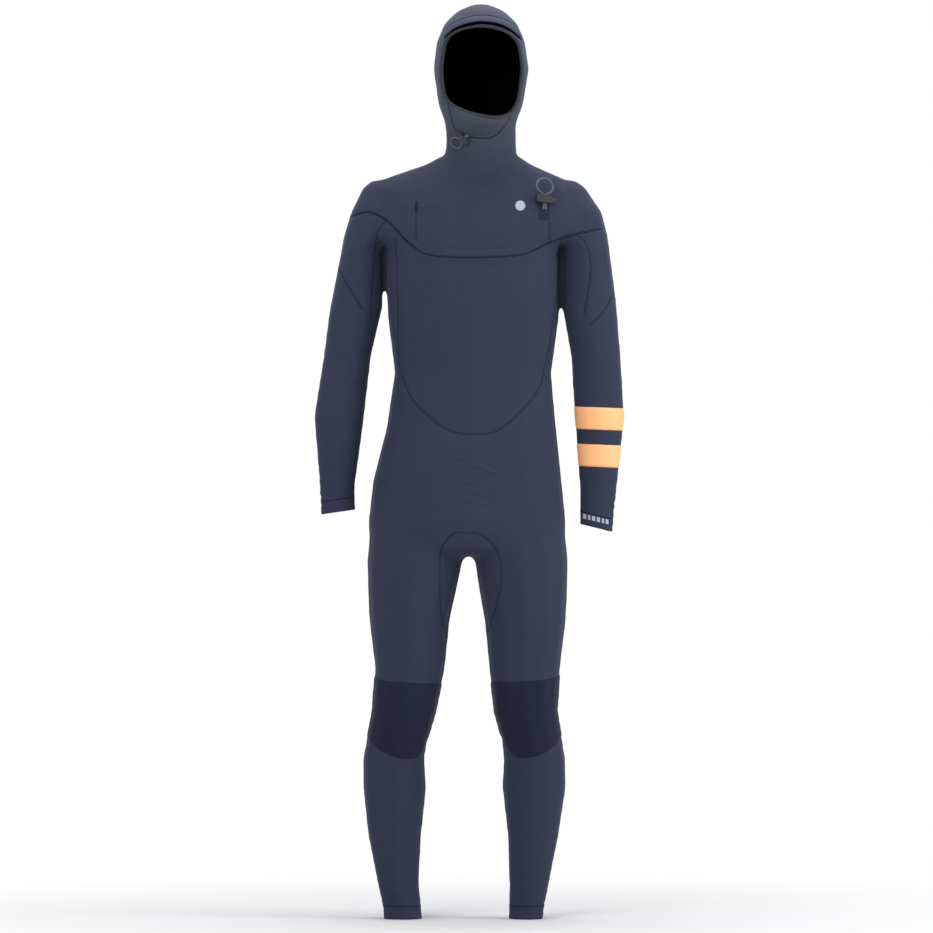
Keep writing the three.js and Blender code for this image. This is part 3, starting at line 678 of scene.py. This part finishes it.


# Which panel each face belongs to; a face near a joint goes to that joint's panel.
def panelOfFaces(points, faces):
    tree, owner = nodeTree(panelNodes)
    quads = asQuads(faces)
    centres = points[quads].mean(axis=1)
    nearest = [owner[tree.find_nearest(Vector(c))[2]] for c in centres]
    mm = inMillimetres(points)
    shares = {}
    for bend in bends:
        share = shareOf(bend, mm[quads][:, :, 0], mm[quads][:, :, 2])
        shares[bend] = (share.min(axis=1), share.max(axis=1))
    names = []
    for i, node in enumerate(nearest):
        side = "left" if mm[quads[i], 0].mean() > 0 else "right"
        if node.endswith(armNodes):
            side = node.split("_")[0]
            if shares[side + "_shoulder"][0][i] < 1:
                node = side + "_shoulder_panel"
            elif shares[side + "_elbow"][1][i] <= 0:
                node = side + "_upper_sleeve"
            elif shares[side + "_elbow"][0][i] < 1:
                node = side + "_elbow_panel"
            elif not node.endswith("_wrist_cuff"):
                node = side + "_forearm_panel"
        elif shares["neck"][1][i] > 0:
            if shares["neck"][0][i] < 1:
                node = "neck_panel"
            elif node == "neck_panel" or not node.startswith(("hood", "chin")):
                back = centres[i][1] > panelSplits["hoodBackFrom"]
                node = "hood_back_panel" if back else "hood_front_panel"
        elif shares[side + "_hip"][1][i] > 0:
            if shares[side + "_hip"][0][i] < 1:
                node = side + ("_crotch_gusset" if node == "crotch_gusset" else "_hip_panel")
            elif shares[side + "_knee"][1][i] <= 0:
                node = side + "_thigh_panel"
            elif shares[side + "_knee"][0][i] < 1:
                node = side + "_knee_back"
            elif not node.endswith("_ankle_cuff"):
                node = side + "_shin_panel"
        elif node.endswith(("_hip_panel", "_thigh_panel")) or node in ("crotch_gusset", "neck_panel"):
            node = "waist_panel" if centres[i][2] < panelSplits["waistBelow"] else "chest_bib"
        names.append(node)
    return np.array(names)


bodyOfPanel = {}
for panelBody, members in frame["record"]["behaviour"]["bodies"].items():
    bodyOfPanel.update(dict.fromkeys(members, panelBody))

bendOfPanel = {"neck_panel": "neck"}
for sideName in ("left_", "right_"):
    bendOfPanel[sideName + "crotch_gusset"] = sideName + "hip"
    bendOfPanel[sideName + "knee_back"] = sideName + "knee"
    for bendName in ("shoulder", "elbow", "hip"):
        bendOfPanel[sideName + bendName + "_panel"] = sideName + bendName


# Every piece is parented to one body's empty; a piece at the bend between two only has its transform baked.
def settle(piece, follows, slot, *nodes):
    if follows in bends:
        bendPiece(piece)
    else:
        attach(piece, follows)
    if nodes:
        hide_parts(*nodes)


def camel(name):
    words = name.split("_")
    return words[0] + "".join(w.capitalize() for w in words[1:])


# One panel with its thickness: outside, lining and the cut edge between them.
def makePanel(name, points, normals, faces):
    used = sorted({i for f in faces for i in f})
    number = {v: i for i, v in enumerate(used)}
    count = len(used)
    outside = points[used]
    inward = normals[used]
    inside = outside - inward * skinSettings["thickness"]
    top = [tuple(number[i] for i in f) for f in faces]
    bottom = [tuple(count + i for i in reversed(f)) for f in top]
    edges = dict.fromkeys((a, b) for f in top for a, b in zip(f, f[1:] + f[:1]))
    rim = [(b, a, count + a, count + b) for a, b in edges if (b, a) not in edges]
    material = materials["hood_jersey" if name.startswith(("hood", "chin", "neck")) else "jersey"]
    piece = newMesh(camel(name), np.vstack([outside, inside]), top + bottom + rim, material)
    piece.data.materials.append(materials["lining"])
    piece.data.polygons.foreach_set("material_index", [0] * len(top) + [1] * len(bottom) + [0] * len(rim))
    piece.data.update()
    piece.data.normals_split_custom_set_from_vertices(np.vstack([inward, -inward]).tolist())
    slot = "hood_jersey" if name.startswith(("hood", "chin")) else "jersey"
    follows = bendOfPanel[name] if name in bendOfPanel else bodyOfPanel[name]
    settle(piece, follows, slot, "crotch_gusset" if name.endswith("crotch_gusset") else name)


# The hems are cut level at the ankles and on a slant at the wrists.
def trimHems(points, faces):
    shape = bmesh.new()
    for p in points:
        shape.verts.new(p)
    shape.verts.ensure_lookup_table()
    for f in faces:
        shape.faces.new([shape.verts[i] for i in f])
    for node, height in hemHeights.items():
        low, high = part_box(node)
        cut = Vector(((low.x + high.x) / 2, 0, at(0, 0, height).z))
        near = []
        for f in shape.faces:
            middle = f.calc_center_median()
            level = -hemSettings["below"] < middle.z - cut.z < hemSettings["above"]
            if level and low.x - hemSettings["beside"] < middle.x < high.x + hemSettings["beside"]:
                near.append(f)
        geometry = dict.fromkeys(near)  # a dictionary keeps its order, so each run cuts alike
        for f in near:
            geometry.update(dict.fromkeys([*f.edges, *f.verts]))
        slant = (-hemSlants.get(node, 0), 0, 1)
        bmesh.ops.bisect_plane(shape, geom=list(geometry), plane_co=cut, plane_no=slant, clear_inner=True,
                               dist=1e-6)
    shape.verts.index_update()
    points = np.array([v.co[:] for v in shape.verts])
    faces = [tuple(v.index for v in f.verts) for f in shape.faces]
    shape.free()
    return points, faces


def quadsOnly(faces):
    made = []
    for f in faces:
        if len(f) <= 4:
            made.append(f)
        else:
            made.extend((f[0], f[i], f[i + 1]) for i in range(1, len(f) - 1))
    return made


def makeSkin():
    points, edges, faces = outerOnly(*rawSkin())
    print("skin", len(points), "points")
    points = calmMore(calm(points, edges, skinSettings["passes"], skinSettings["keepBelow"]), edges)
    points = addFolds(points, cornerNormals(points, faces))
    points, faces = trimHems(points, faces)
    faces = quadsOnly(faces)
    normals = cornerNormals(points, faces)
    skin["tree"] = BVHTree.FromPolygons([Vector(p) for p in points], faces)
    skin["points"], skin["normals"], skin["faces"] = points, normals, faces
    names = panelOfFaces(points, faces)
    centres = points[asQuads(faces)].mean(axis=1)
    turns = np.arctan2(centres[:, 0] - faceMiddle.x, faceMiddle.y - centres[:, 1])
    opening = insideOutline(turns, centres[:, 2], faceLoop(3)) & (centres[:, 1] < 0) & (centres[:, 2] > 0)
    for name in sorted(set(names)):
        chosen = np.flatnonzero((names == name) & ~opening)
        makePanel(name, points, normals, [faces[i] for i in chosen])
    print("panels done")


# The pieces laid on the skin start from spots on it and the skin's own directions there.
def smoothNormal(index, spot):
    corners = skin["faces"][index]
    weights = [1 / (1e-5 + (Vector(skin["points"][i]) - spot).length) for i in corners]
    total = sum((Vector(skin["normals"][i]) * w for i, w in zip(corners, weights)), Vector())
    return total.normalized()


def castOn(origin, direction):
    spot, _, index, _ = skin["tree"].ray_cast(origin, direction)
    if spot is None:
        spot, _, index, _ = skin["tree"].find_nearest(origin + direction * 0.4)
    return spot, smoothNormal(index, spot)


def onFront(x, z):
    return castOn(at(x, -500, z), Vector((0, 1, 0)))


def onBack(x, z):
    return castOn(at(x, 500, z), Vector((0, -1, 0)))


# A bead along spots on the skin, half-round on top and flat underneath; size is width and height.
def makeBead(name, hits, size, finish, follows, slot="seam_seal", nodes=(), closed=False, sink=0.0004):
    profile = [(-0.5, -1), (-0.5, 0.1), (-0.36, 0.72), (0, 1), (0.36, 0.72), (0.5, 0.1), (0.5, -1)]
    width, height = size
    points, faces = [], []
    count = len(hits)
    for i, (spot, normal) in enumerate(hits):
        before = hits[(i - 1) % count if closed else max(i - 1, 0)][0]
        after = hits[(i + 1) % count if closed else min(i + 1, count - 1)][0]
        side = (after - before).cross(normal).normalized()
        taper = 1.0 if closed else min(1.0, 0.25 + 0.25 * min(i, count - 1 - i))
        for across, up in profile:
            lift = up * height if up > 0 else -sink
            points.append(spot + side * (across * width * taper) + normal * lift)
    rows = len(profile)
    for i in range(count if closed else count - 1):
        for k in range(rows):
            a, b = i * rows + k, i * rows + (k + 1) % rows
            c, d = ((i + 1) % count) * rows + (k + 1) % rows, ((i + 1) % count) * rows + k
            faces.append((a, b, c, d))
    if not closed:
        faces.append(tuple(range(rows)))
        faces.append(tuple((count - 1) * rows + k for k in reversed(range(rows))))
    settle(faceOut(newMesh(name, points, faces, materials[finish])), follows, slot, *nodes)


sheetSettings = {"rim": 0.15, "sunk": 0.0006}  # the rim's share of the thickness, and metres into the skin


# A sheet over a grid of spots, with its edges rolled down into the skin.
def makeSheet(name, grid, thickness, finish, follows, slot, nodes=(), edge=2, closedAcross=False):
    rows, columns = len(grid), len(grid[0])
    rim = sheetSettings["rim"]
    top, low = [], []
    for i in range(rows):
        for j in range(columns):
            spot, normal = grid[i][j]
            inset = min(i, rows - 1 - i, *(() if closedAcross else (j, columns - 1 - j)))
            share = math.sin(min(1.0, inset / edge) * math.pi / 2)
            top.append(spot + normal * (thickness * (rim + (1 - rim) * share)))
            low.append(spot - normal * sheetSettings["sunk"])
    faces = []
    count = rows * columns
    across = columns if closedAcross else columns - 1
    for i in range(rows - 1):
        for j in range(across):
            k = (j + 1) % columns
            a, b, c, d = i * columns + j, i * columns + k, (i + 1) * columns + k, (i + 1) * columns + j
            faces.append((a, b, c, d))
            faces.append((count + d, count + c, count + b, count + a))
    for j in range(across):
        k = (j + 1) % columns
        faces.append((j, count + j, count + k, k))
        base = (rows - 1) * columns
        faces.append((base + k, count + base + k, count + base + j, base + j))
    if not closedAcross:
        for i in range(rows - 1):
            a, b = i * columns, (i + 1) * columns
            faces.append((b, count + b, count + a, a))
            a, b = a + columns - 1, b + columns - 1
            faces.append((a, count + a, count + b, b))
    settle(faceOut(newMesh(name, top + low, faces, materials[finish])), follows, slot, *nodes)


# Level rings of spots around a node, higher by tilt at the suit's left side.
def ringGrid(node, heights, around, tilt=0.0):
    low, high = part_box(node)
    centre = (low + high) / 2
    grid = []
    for z in heights:
        row = []
        for i in range(around):
            turn = 2 * math.pi * i / around
            origin = Vector((centre.x, centre.y, (z - suitOrigin[2]) / 1000 + tilt * math.cos(turn)))
            row.append(castOn(origin, Vector((math.cos(turn), math.sin(turn), 0))))
        grid.append(row)
    return grid


seamSettings = {"width": 0.0038, "height": 0.0006, "steps": 10}
frontSeams = [
    # name, points (x, z), what it follows, width share
    ("rightChestSeam", [(-225, 1322), (-190, 1330), (-154, 1312), (-120, 1276), (-96, 1258), (-84, 1251)],
     "root", 1.2),
    ("leftChestSeam", [(94, 1248), (104, 1251), (120, 1258), (150, 1272), (191, 1286), (250, 1300)],
     "root", 1.2),
    ("torsoPanelSeam", [(-139, 1285), (-138, 1240), (-135, 1150), (-134, 1067), (-131, 1037), (-120, 1004),
                        (-104, 973), (-59, 932), (-28, 917), (2, 914), (52, 920), (107, 968), (132, 1004),
                        (137, 1026), (149, 1080), (162, 1180), (168, 1250), (170, 1276)], "root", 1.0),
    ("leftBibSeam", [(149, 1272), (149, 1300), (148, 1330), (146, 1358)], "root", 0.7),
    ("rightBibSeam", [(-100, 1262), (-101, 1290), (-101, 1318), (-100, 1332)], "root", 0.6),
    ("chinSeam", [(-43, 1542), (-36, 1512), (-28, 1485), (-6, 1472), (20, 1468), (41, 1470), (56, 1480),
                  (72, 1502), (79, 1521)], "hood", 1.0),
    ("leftUnderarmSeam", [(164, 1278), (191, 1288), (214, 1276), (224, 1253), (227, 1218), (222, 1180),
                          (214, 1135)], "left_shoulder", 1.0),
    ("rightUnderarmSeam", [(-157, 1314), (-172, 1295), (-179, 1259), (-183, 1215), (-186, 1170),
                           (-187, 1120)], "right_shoulder", 1.0),
    ("rightSleeveSeam", [(-252, 1232), (-240, 1211), (-228, 1190), (-214, 1167), (-200, 1145)],
     "right_shoulder", 1.0),
    ("leftSleeveSeam", [(272, 1180), (260, 1158), (249, 1140), (239, 1130), (226, 1118)],
     "left_shoulder", 1.0),
    ("leftGussetSeam", [(0, 728), (19, 726), (45, 704), (57, 674), (58, 631), (50, 592), (40, 560),
                        (30, 530)], "left_hip", 0.9),
    ("rightGussetSeam", [(0, 728), (-24, 729), (-41, 718), (-55, 692), (-57, 650), (-56, 600), (-52, 562),
                         (-44, 530)], "right_hip", 0.9),
]
backSeams = [
    ("backYokeSeam", [(-150, 1100), (-120, 1085), (-60, 1074), (0, 1070), (60, 1074), (120, 1085),
                      (156, 1100)], "root", 1.0),
    ("leftBackPanelSeam", [(92, 1390), (112, 1330), (124, 1250), (122, 1160), (112, 1084)], "root", 1.0),
    ("rightBackPanelSeam", [(-70, 1390), (-92, 1330), (-104, 1250), (-104, 1160), (-96, 1084)], "root", 1.0),
    ("hoodBackSeam", [(20, 1716), (21, 1690), (21, 1640), (21, 1580), (20, 1520), (20, 1475)], "hood", 1.0),
    ("seatSeam", [(-168, 845), (-110, 868), (-50, 852), (-4, 812), (42, 852), (102, 868), (162, 845)],
     "root", 1.0),
    ("leftKneeBackSeam", [(66, 432), (90, 418), (112, 414), (136, 422), (152, 436)], "left_knee", 0.9),
    ("rightKneeBackSeam", [(-172, 436), (-150, 422), (-126, 414), (-104, 418), (-80, 432)],
     "right_knee", 0.9),
]


def makeSeams():
    for cast, seams in ((onFront, frontSeams), (onBack, backSeams)):
        for name, points, follows, share in seams:
            hits = [cast(*p) for p in roundLine(points, seamSettings["steps"])]
            finish = "seam_seal" if name.endswith("ChestSeam") else "soft_seam"
            nodes = ["front_seam_tape"] if name == "torsoPanelSeam" else []
            makeBead(name, hits, (seamSettings["width"] * share, seamSettings["height"]), finish, follows,
                     nodes=nodes)
    print("seams done")


# The knee pads wrap each leg's front, and their lower corners turn up round its sides.
kneeSettings = {
    "left": {"centre": (106, 4), "top": 450, "bottom": 305, "lean": 0.10, "tilt": 9},
    "right": {"centre": (-117, 4), "top": 447, "bottom": 302, "lean": -0.08, "tilt": -9},
    "rows": 44, "columns": 60, "wrap": 112, "topCurve": 3, "bottomCurve": 38, "cornerFrom": 0.8,
    "cornerCurve": 4, "leanAbout": 380, "thickness": 0.0016,
}


def makeKnee(side):
    knee = kneeSettings[side]
    rows, columns, wrap = kneeSettings["rows"], kneeSettings["columns"], kneeSettings["wrap"]
    grid = []
    for i in range(rows):
        row = []
        for j in range(columns):
            u = 2 * j / (columns - 1) - 1
            turn = math.radians(-90 + wrap * u)
            corner = kneeSettings["cornerCurve"] * max(0, abs(u) - kneeSettings["cornerFrom"])
            curve = math.sin(math.radians(min(90, wrap * abs(u)))) ** 3 + corner
            top = knee["top"] + knee["tilt"] * u + kneeSettings["topCurve"] * curve
            bottom = knee["bottom"] + kneeSettings["bottomCurve"] * curve
            z = bottom + (top - bottom) * i / (rows - 1)
            shift = knee["lean"] * (z - kneeSettings["leanAbout"])
            origin = at(knee["centre"][0] + shift, knee["centre"][1], z)
            row.append(castOn(origin, Vector((math.cos(turn), math.sin(turn), 0))))
        grid.append(row)
    makeSheet(side + "KneePad", grid, kneeSettings["thickness"], "knee_rubber", side + "_knee", "knee_rubber",
              [side + "_knee_pad"])


# The left forearm's two bands, and the plain bars printed on its cuff.
bandSettings = {"lows": {"forearm_band_upper": 921, "forearm_band_lower": 851}, "height": 42, "rows": 11,
                "around": 120, "tilt": -0.0016, "thickness": 0.0008}
markSettings = {
    "spot": (237, 753), "slant": -0.24, "out": 0.0009, "sunk": 0.0004,
    "bars": [(-21, 6, 9), (-12.5, 4, 9), (-4.5, 6, 9), (4.5, 6, 9), (13, 4, 9), (20.5, 5, 9)],
}


def makeBands():
    for node, low in bandSettings["lows"].items():
        rows = bandSettings["rows"]
        heights = [low + bandSettings["height"] * i / (rows - 1) for i in range(rows)]
        grid = ringGrid(node, heights, bandSettings["around"], tilt=bandSettings["tilt"])
        makeSheet(camel(node), grid, bandSettings["thickness"], "orange_print", "left_forearm",
                  "orange_print", [node], edge=1, closedAcross=True)
    markX, markZ = markSettings["spot"]
    points, faces = [], []
    for x, width, height in markSettings["bars"]:
        hits = []
        for u in (-0.5, -0.25, 0, 0.25, 0.5):
            across = x + u * width
            for w in (-0.5, 0, 0.5):
                hits.append(onFront(markX + across, markZ + markSettings["slant"] * across + w * height))
        top = len(points)
        points += [spot + normal * markSettings["out"] for spot, normal in hits]
        low = len(points)
        points += [spot - normal * markSettings["sunk"] for spot, normal in hits]
        for i in range(4):
            for k in range(2):
                a, b = i * 3 + k, (i + 1) * 3 + k
                faces.append((top + a, top + b, top + b + 1, top + a + 1))
                faces.append((low + a + 1, low + b + 1, low + b, low + a))
        ring = [0, 3, 6, 9, 12, 13, 14, 11, 8, 5, 2, 1]
        for a, b in zip(ring, ring[1:] + ring[:1]):
            faces.append((top + a, low + a, low + b, top + b))
    mark = faceOut(newMesh("cuffMark", points, faces, materials["white_print"], smooth=False))
    settle(mark, "left_forearm", "white_print", "cuff_mark")
    print("prints done")


hemBeads = {"Edge": (4, 0.006, "jersey"), "Seam": (24, 0.0022, "seam_seal")}  # rise, width, finish


def makeHems():
    for node, height in hemHeights.items():
        tilt = hemSlants.get(node, 0) * hemSettings["halfWidth"]
        for ending, (rise, width, finish) in hemBeads.items():
            hits = ringGrid(node, [height + rise], 96, tilt=tilt)[0]
            makeBead(camel(node) + ending, hits, (width, 0.0005), finish, bodyOfPanel[node], closed=True)


# The hood's face seal, and the brim above it with a near-black bead below it, painted shadow of the gap
# between brim and opening, and a seam above.
hoodTrim = {
    "sealOut": 2.4, "seal": (0.0058, 0.0010), "sealSink": 0.0045, "brimRows": 9, "brimThickness": 0.0030,
    # The drop and the size of the near-black bead under the brim are those of the painted shadow of the gap
    # there.
    "edgeDrop": 2.2, "edge": (0.0062, 0.0014), "crownRise": 1.5, "crown": (0.0024, 0.0006),
    "upper": [(-50, 1661), (-35, 1680), (-12, 1691), (22, 1697), (60, 1691), (84, 1679), (98, 1660)],
    "lower": [(-48, 1658), (-29, 1673), (-4, 1682), (22, 1685.5), (52, 1682), (76, 1672), (96, 1656)],
}


def makeHoodTrim():
    rim = [onFace(*p) for p in faceLoop(hoodTrim["sealOut"])]
    makeBead("faceSeal", rim, hoodTrim["seal"], "smooth_rubber", "hood", "smooth_rubber", ["face_seal"],
             closed=True, sink=hoodTrim["sealSink"])
    upper, lower = roundLine(hoodTrim["upper"], 8), roundLine(hoodTrim["lower"], 8)
    grid = []
    for i in range(hoodTrim["brimRows"]):
        share = i / (hoodTrim["brimRows"] - 1)
        grid.append([onFront(*(a * (1 - share) + b * share)) for a, b in zip(upper, lower)])
    makeSheet("foreheadBrim", grid, hoodTrim["brimThickness"], "brim", "hood", "smooth_rubber",
              ["forehead_brim"])
    # A near-black bead in the lining's finish along the brim's lower side: painted shadow of the gap between
    # the brim and the face seal.
    makeBead("brimEdge", [onFront(x, z - hoodTrim["edgeDrop"]) for x, z in lower], hoodTrim["edge"], "lining",
             "hood")
    makeBead("crownSeam", [onFront(x, z + hoodTrim["crownRise"]) for x, z in upper], hoodTrim["crown"],
             "seam_seal", "hood")
    print("hood trims done")


# The flap lies proud over the zip's curve and sinks into the skin all round.
flapSettings = {
    "line": [(-104, 1263), (-86, 1252), (-50, 1246), (6, 1245), (60, 1246), (98, 1250), (116, 1256)],
    "top": 17, "bottom": -18, "rows": 15, "edgeRow": 7, "edge": (0.0044, 0.0016), "thickness": 0.0007,
    "sunk": 0.0014, "zipCentre": 6, "zipBack": 184.4, "zipReach": 303.0,
}


def makeFlap():
    rows = flapSettings["rows"]
    line = roundLine(flapSettings["line"], 10)
    grid = []
    for i in range(rows):
        row = []
        for j, (x, z) in enumerate(line):
            rise = flapSettings["top"] - (flapSettings["top"] - flapSettings["bottom"]) * i / (rows - 1)
            spot, normal = onFront(x, z + rise)
            turnX = x - flapSettings["zipCentre"]
            arc = flapSettings["zipBack"] - math.sqrt(flapSettings["zipReach"] ** 2 - turnX**2)
            cover = math.sin(math.pi * min(1, 4 * i / (rows - 1), 4 * (rows - 1 - i) / (rows - 1)) / 2)
            cover *= min(1, j / 5, (len(line) - 1 - j) / 5) ** 0.5
            ahead = Vector((0, min(0, at(0, arc, 0).y - spot.y) * cover, 0))
            row.append((spot + ahead - normal * (flapSettings["sunk"] * (1 - cover)), normal))
        grid.append(row)
    makeSheet("stormFlap", grid, flapSettings["thickness"], "jersey", "root", "seam_seal", ["storm_flap"],
              edge=4)
    makeBead("stormFlapEdge", grid[flapSettings["edgeRow"]], flapSettings["edge"], "seam_seal", "root")


# The rest of the chest: a backing inside the zip, the round badge, the tab and the key pocket's slit.
chestSettings = {
    "backing": {"left": -78, "width": 168, "top": 1258, "drop": 28, "inside": 0.0066, "thickness": 0.0012},
    "badge": {"centre": (94, 1341), "radius": 9.5, "hole": 0.02, "thickness": 0.0010},
    "tab": {"left": 129, "width": 17, "top": 1348, "drop": 34, "thickness": 0.0018},
    "slit": {"foot": (-101, 1327), "step": (0.08, 1.5), "points": 17, "size": (0.0062, 0.0008)},
}


def frontGrid(place, rows, columns):
    across = [place["left"] + place["width"] * j / (columns - 1) for j in range(columns)]
    down = [place["top"] - place["drop"] * i / (rows - 1) for i in range(rows)]
    return [[onFront(x, z) for x in across] for z in down]


def makeChest():
    makeFlap()
    backing, badge, tab, slit = (chestSettings[part] for part in ("backing", "badge", "tab", "slit"))
    inner = [[(spot - normal * backing["inside"], normal) for spot, normal in row]
             for row in frontGrid(backing, 9, 37)]
    makeSheet("zipBacking", inner, backing["thickness"], "jersey", "root", "jersey", ["zip_backing"])
    (x, z), turns = badge["centre"], [2 * math.pi * k / 48 for k in range(48)]
    disc = []
    for i in range(10):
        radius = badge["radius"] * (9 - i) / 9 + badge["hole"]
        disc.append([onFront(x + radius * math.cos(t), z + radius * math.sin(t)) for t in turns])
    makeSheet("chestBadge", disc, badge["thickness"], "white_print", "root", "white_print", ["chest_badge"],
              closedAcross=True)
    makeSheet("toggleTab", frontGrid(tab, 21, 13), tab["thickness"], "soft_seam", "root", "seam_seal",
              ["toggle_tab"])
    (x, z), (stepX, stepZ) = slit["foot"], slit["step"]
    hits = [onFront(x + stepX * i, z + stepZ * i) for i in range(slit["points"])]
    makeBead("keyPocketSlit", hits, slit["size"], "seam_seal", "root")


# A patch of cloth behind each armpit, just under the skin, for when the arm is raised.
patchSettings = {"low": 1112, "high": 1225, "rows": 20, "columns": 28, "spread": 62, "out": 0.0018,
                 "centre": (6, 8), "thickness": 0.0010}
patchWalls = ("chest_bib", "front_torso_panel", "upper_back_panel", "lower_back_panel", "waist_panel")


def makeArmpitPatches():
    walls = nodeTree(patchWalls)[0]
    for name, side in (("leftArmpitPatch", 1), ("rightArmpitPatch", -1)):
        grid, reach = [], 0.15
        for i in range(patchSettings["rows"]):
            row = []
            rise = (patchSettings["high"] - patchSettings["low"]) * i / (patchSettings["rows"] - 1)
            origin = at(*patchSettings["centre"], patchSettings["low"] + rise)
            for j in range(patchSettings["columns"]):
                turn = math.radians(patchSettings["spread"] * (2 * j / (patchSettings["columns"] - 1) - 1))
                direction = Vector((side * math.cos(turn), math.sin(turn), 0))
                spot = walls.ray_cast(origin, direction)[0]
                reach = (spot - origin).length if spot else reach
                row.append((origin + direction * (reach + patchSettings["out"]), direction))
            grid.append(row)
        makeSheet(name, grid, patchSettings["thickness"], "jersey", "root", "jersey")
    print("armpit patches done")


# Each spring that a lock-press joint deforms is given its own copy of its mesh.
def pressSprings():
    for joint in frame["record"]["behaviour"]["joints"]:
        if joint["name"].endswith("_lock_press"):
            spring = cadNodes[joint["deforming_nodes"][0]["node"]]
            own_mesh(spring)


# The CAD's own hard parts stay, each with its finish; the lock-plastic ones get rounded edges.
hardFinishes = {
    "cord_lock": "lock_plastic", "lock_plunger": "lock_plastic", "lock_spring": "spring_steel",
    "zip_slider": "lock_plastic", "zip_tape_upper": "zip_plastic", "zip_tape_lower": "zip_plastic",
}
edgeSettings = {"width": 0.0005, "segments": 3, "limit_method": "ANGLE"}


def dressHardParts():
    for node, part in cadNodes.items():
        for ending, finish in hardFinishes.items():
            if node.endswith(ending):
                part.data.materials.clear()
                part.data.materials.append(materials[finish])
                if finish == "lock_plastic":
                    bevel = part.modifiers.new("softEdge", "BEVEL")
                    for setting, value in edgeSettings.items():
                        setattr(bevel, setting, value)


# A white room with soft light, and a pale floor that fades to white away from the suit.
studioSettings = {
    "room": (1, 1, 1, 1), "roomLight": (0.97, 0.98, 1, 1), "roomStrength": 0.62, "lightsAim": 950,
    "floor": (0.62, 0.62, 0.63, 1), "floorDrop": 0.0006, "floorFade": {"From Min": 0.1, "From Max": 1.5},
    "floorRings": [0, 0.4, 0.8, 1.4, 2.4, 4, 8, 16, 40],
    "lights": {  # place, size in metres, watts
        "keyLight": ((-1500, -3400, 2600), 2.2, 90),
        "sideLight": ((3000, -900, 1500), 1.8, 70),
        "topLight": ((0, 300, 3600), 1.8, 60),
    },
}


def makeLights():
    world = bpy.data.worlds.new("studio")
    bpy.context.scene.world = world
    world.use_nodes = True
    tree = world.node_tree
    shown = tree.nodes["Background"]
    feed(tree, shown, {"Color": studioSettings["room"]})
    light = {"Color": studioSettings["roomLight"], "Strength": studioSettings["roomStrength"]}
    soft = addNode(tree, "Background", light)
    seen = addNode(tree, "LightPath").outputs["Is Camera Ray"]
    mix = addNode(tree, "MixShader", {0: seen, 1: soft.outputs[0], 2: shown.outputs[0]})
    feed(tree, tree.nodes["World Output"], {"Surface": mix.outputs[0]})
    for name, (spot, size, power) in studioSettings["lights"].items():
        data = bpy.data.lights.new(name, "AREA")
        data.energy = power
        data.size = size
        lamp = addObject(name, data)
        lamp.location = at(*spot)
        aim = at(0, 0, studioSettings["lightsAim"]) - lamp.location
        lamp.rotation_euler = aim.to_track_quat("-Z", "Y").to_euler()


def makeFloor():
    rings, around = studioSettings["floorRings"], 64
    level = at(0, 0, 0).z - studioSettings["floorDrop"]
    points, faces = [], []
    for radius in rings:
        for k in range(around):
            turn = 2 * math.pi * k / around
            points.append((radius * math.cos(turn), radius * math.sin(turn), level))
    for i in range(1, len(rings)):
        for k in range(around):
            n = (k + 1) % around
            faces.append(((i - 1) * around + k, i * around + k, i * around + n, (i - 1) * around + n))
    material, tree, shader = startMaterial("floorPaint")
    feed(tree, shader, {"Base Color": studioSettings["floor"], "Roughness": 0.9, "Specular IOR Level": 0.1})
    newMesh("floor", points, faces, material)
    place = addNode(tree, "TexCoord").outputs["Object"]
    flat = addNode(tree, "VectorMath", {0: place, 1: (1, 1, 0)}, operation="MULTIPLY").outputs["Vector"]
    length = addNode(tree, "VectorMath", {0: flat}, operation="LENGTH").outputs["Value"]
    fade = addNode(tree, "MapRange", {**studioSettings["floorFade"], "Value": length},
                   interpolation_type="SMOOTHSTEP").outputs[0]
    glow = addNode(tree, "Emission").outputs[0]
    mix = addNode(tree, "MixShader", {0: fade, 1: shader.outputs[0], 2: glow})
    feed(tree, tree.nodes["Material Output"], {"Surface": mix.outputs[0]})
    bpy.context.scene.view_settings.view_transform = "Standard"


makeCamera()
groups = {"knit": makeKnit(), "mottle": makeMottle(), "grain": makeGrain()}
materials = {name: makeFinish(name) for name in finishes}
makeCord("collarBungee", "collar_bungee", collarPlace, "root")
makeCord("chinBungee", "chin_bungee", chinPlace, "hood")
print("cords done")
skin = {}
makeSkin()
makeSeams()
makeKnee("left")
makeKnee("right")
makeBands()
makeHems()
makeHoodTrim()
makeChest()
makeArmpitPatches()
dressHardParts()
pressSprings()
makeLights()
makeFloor()
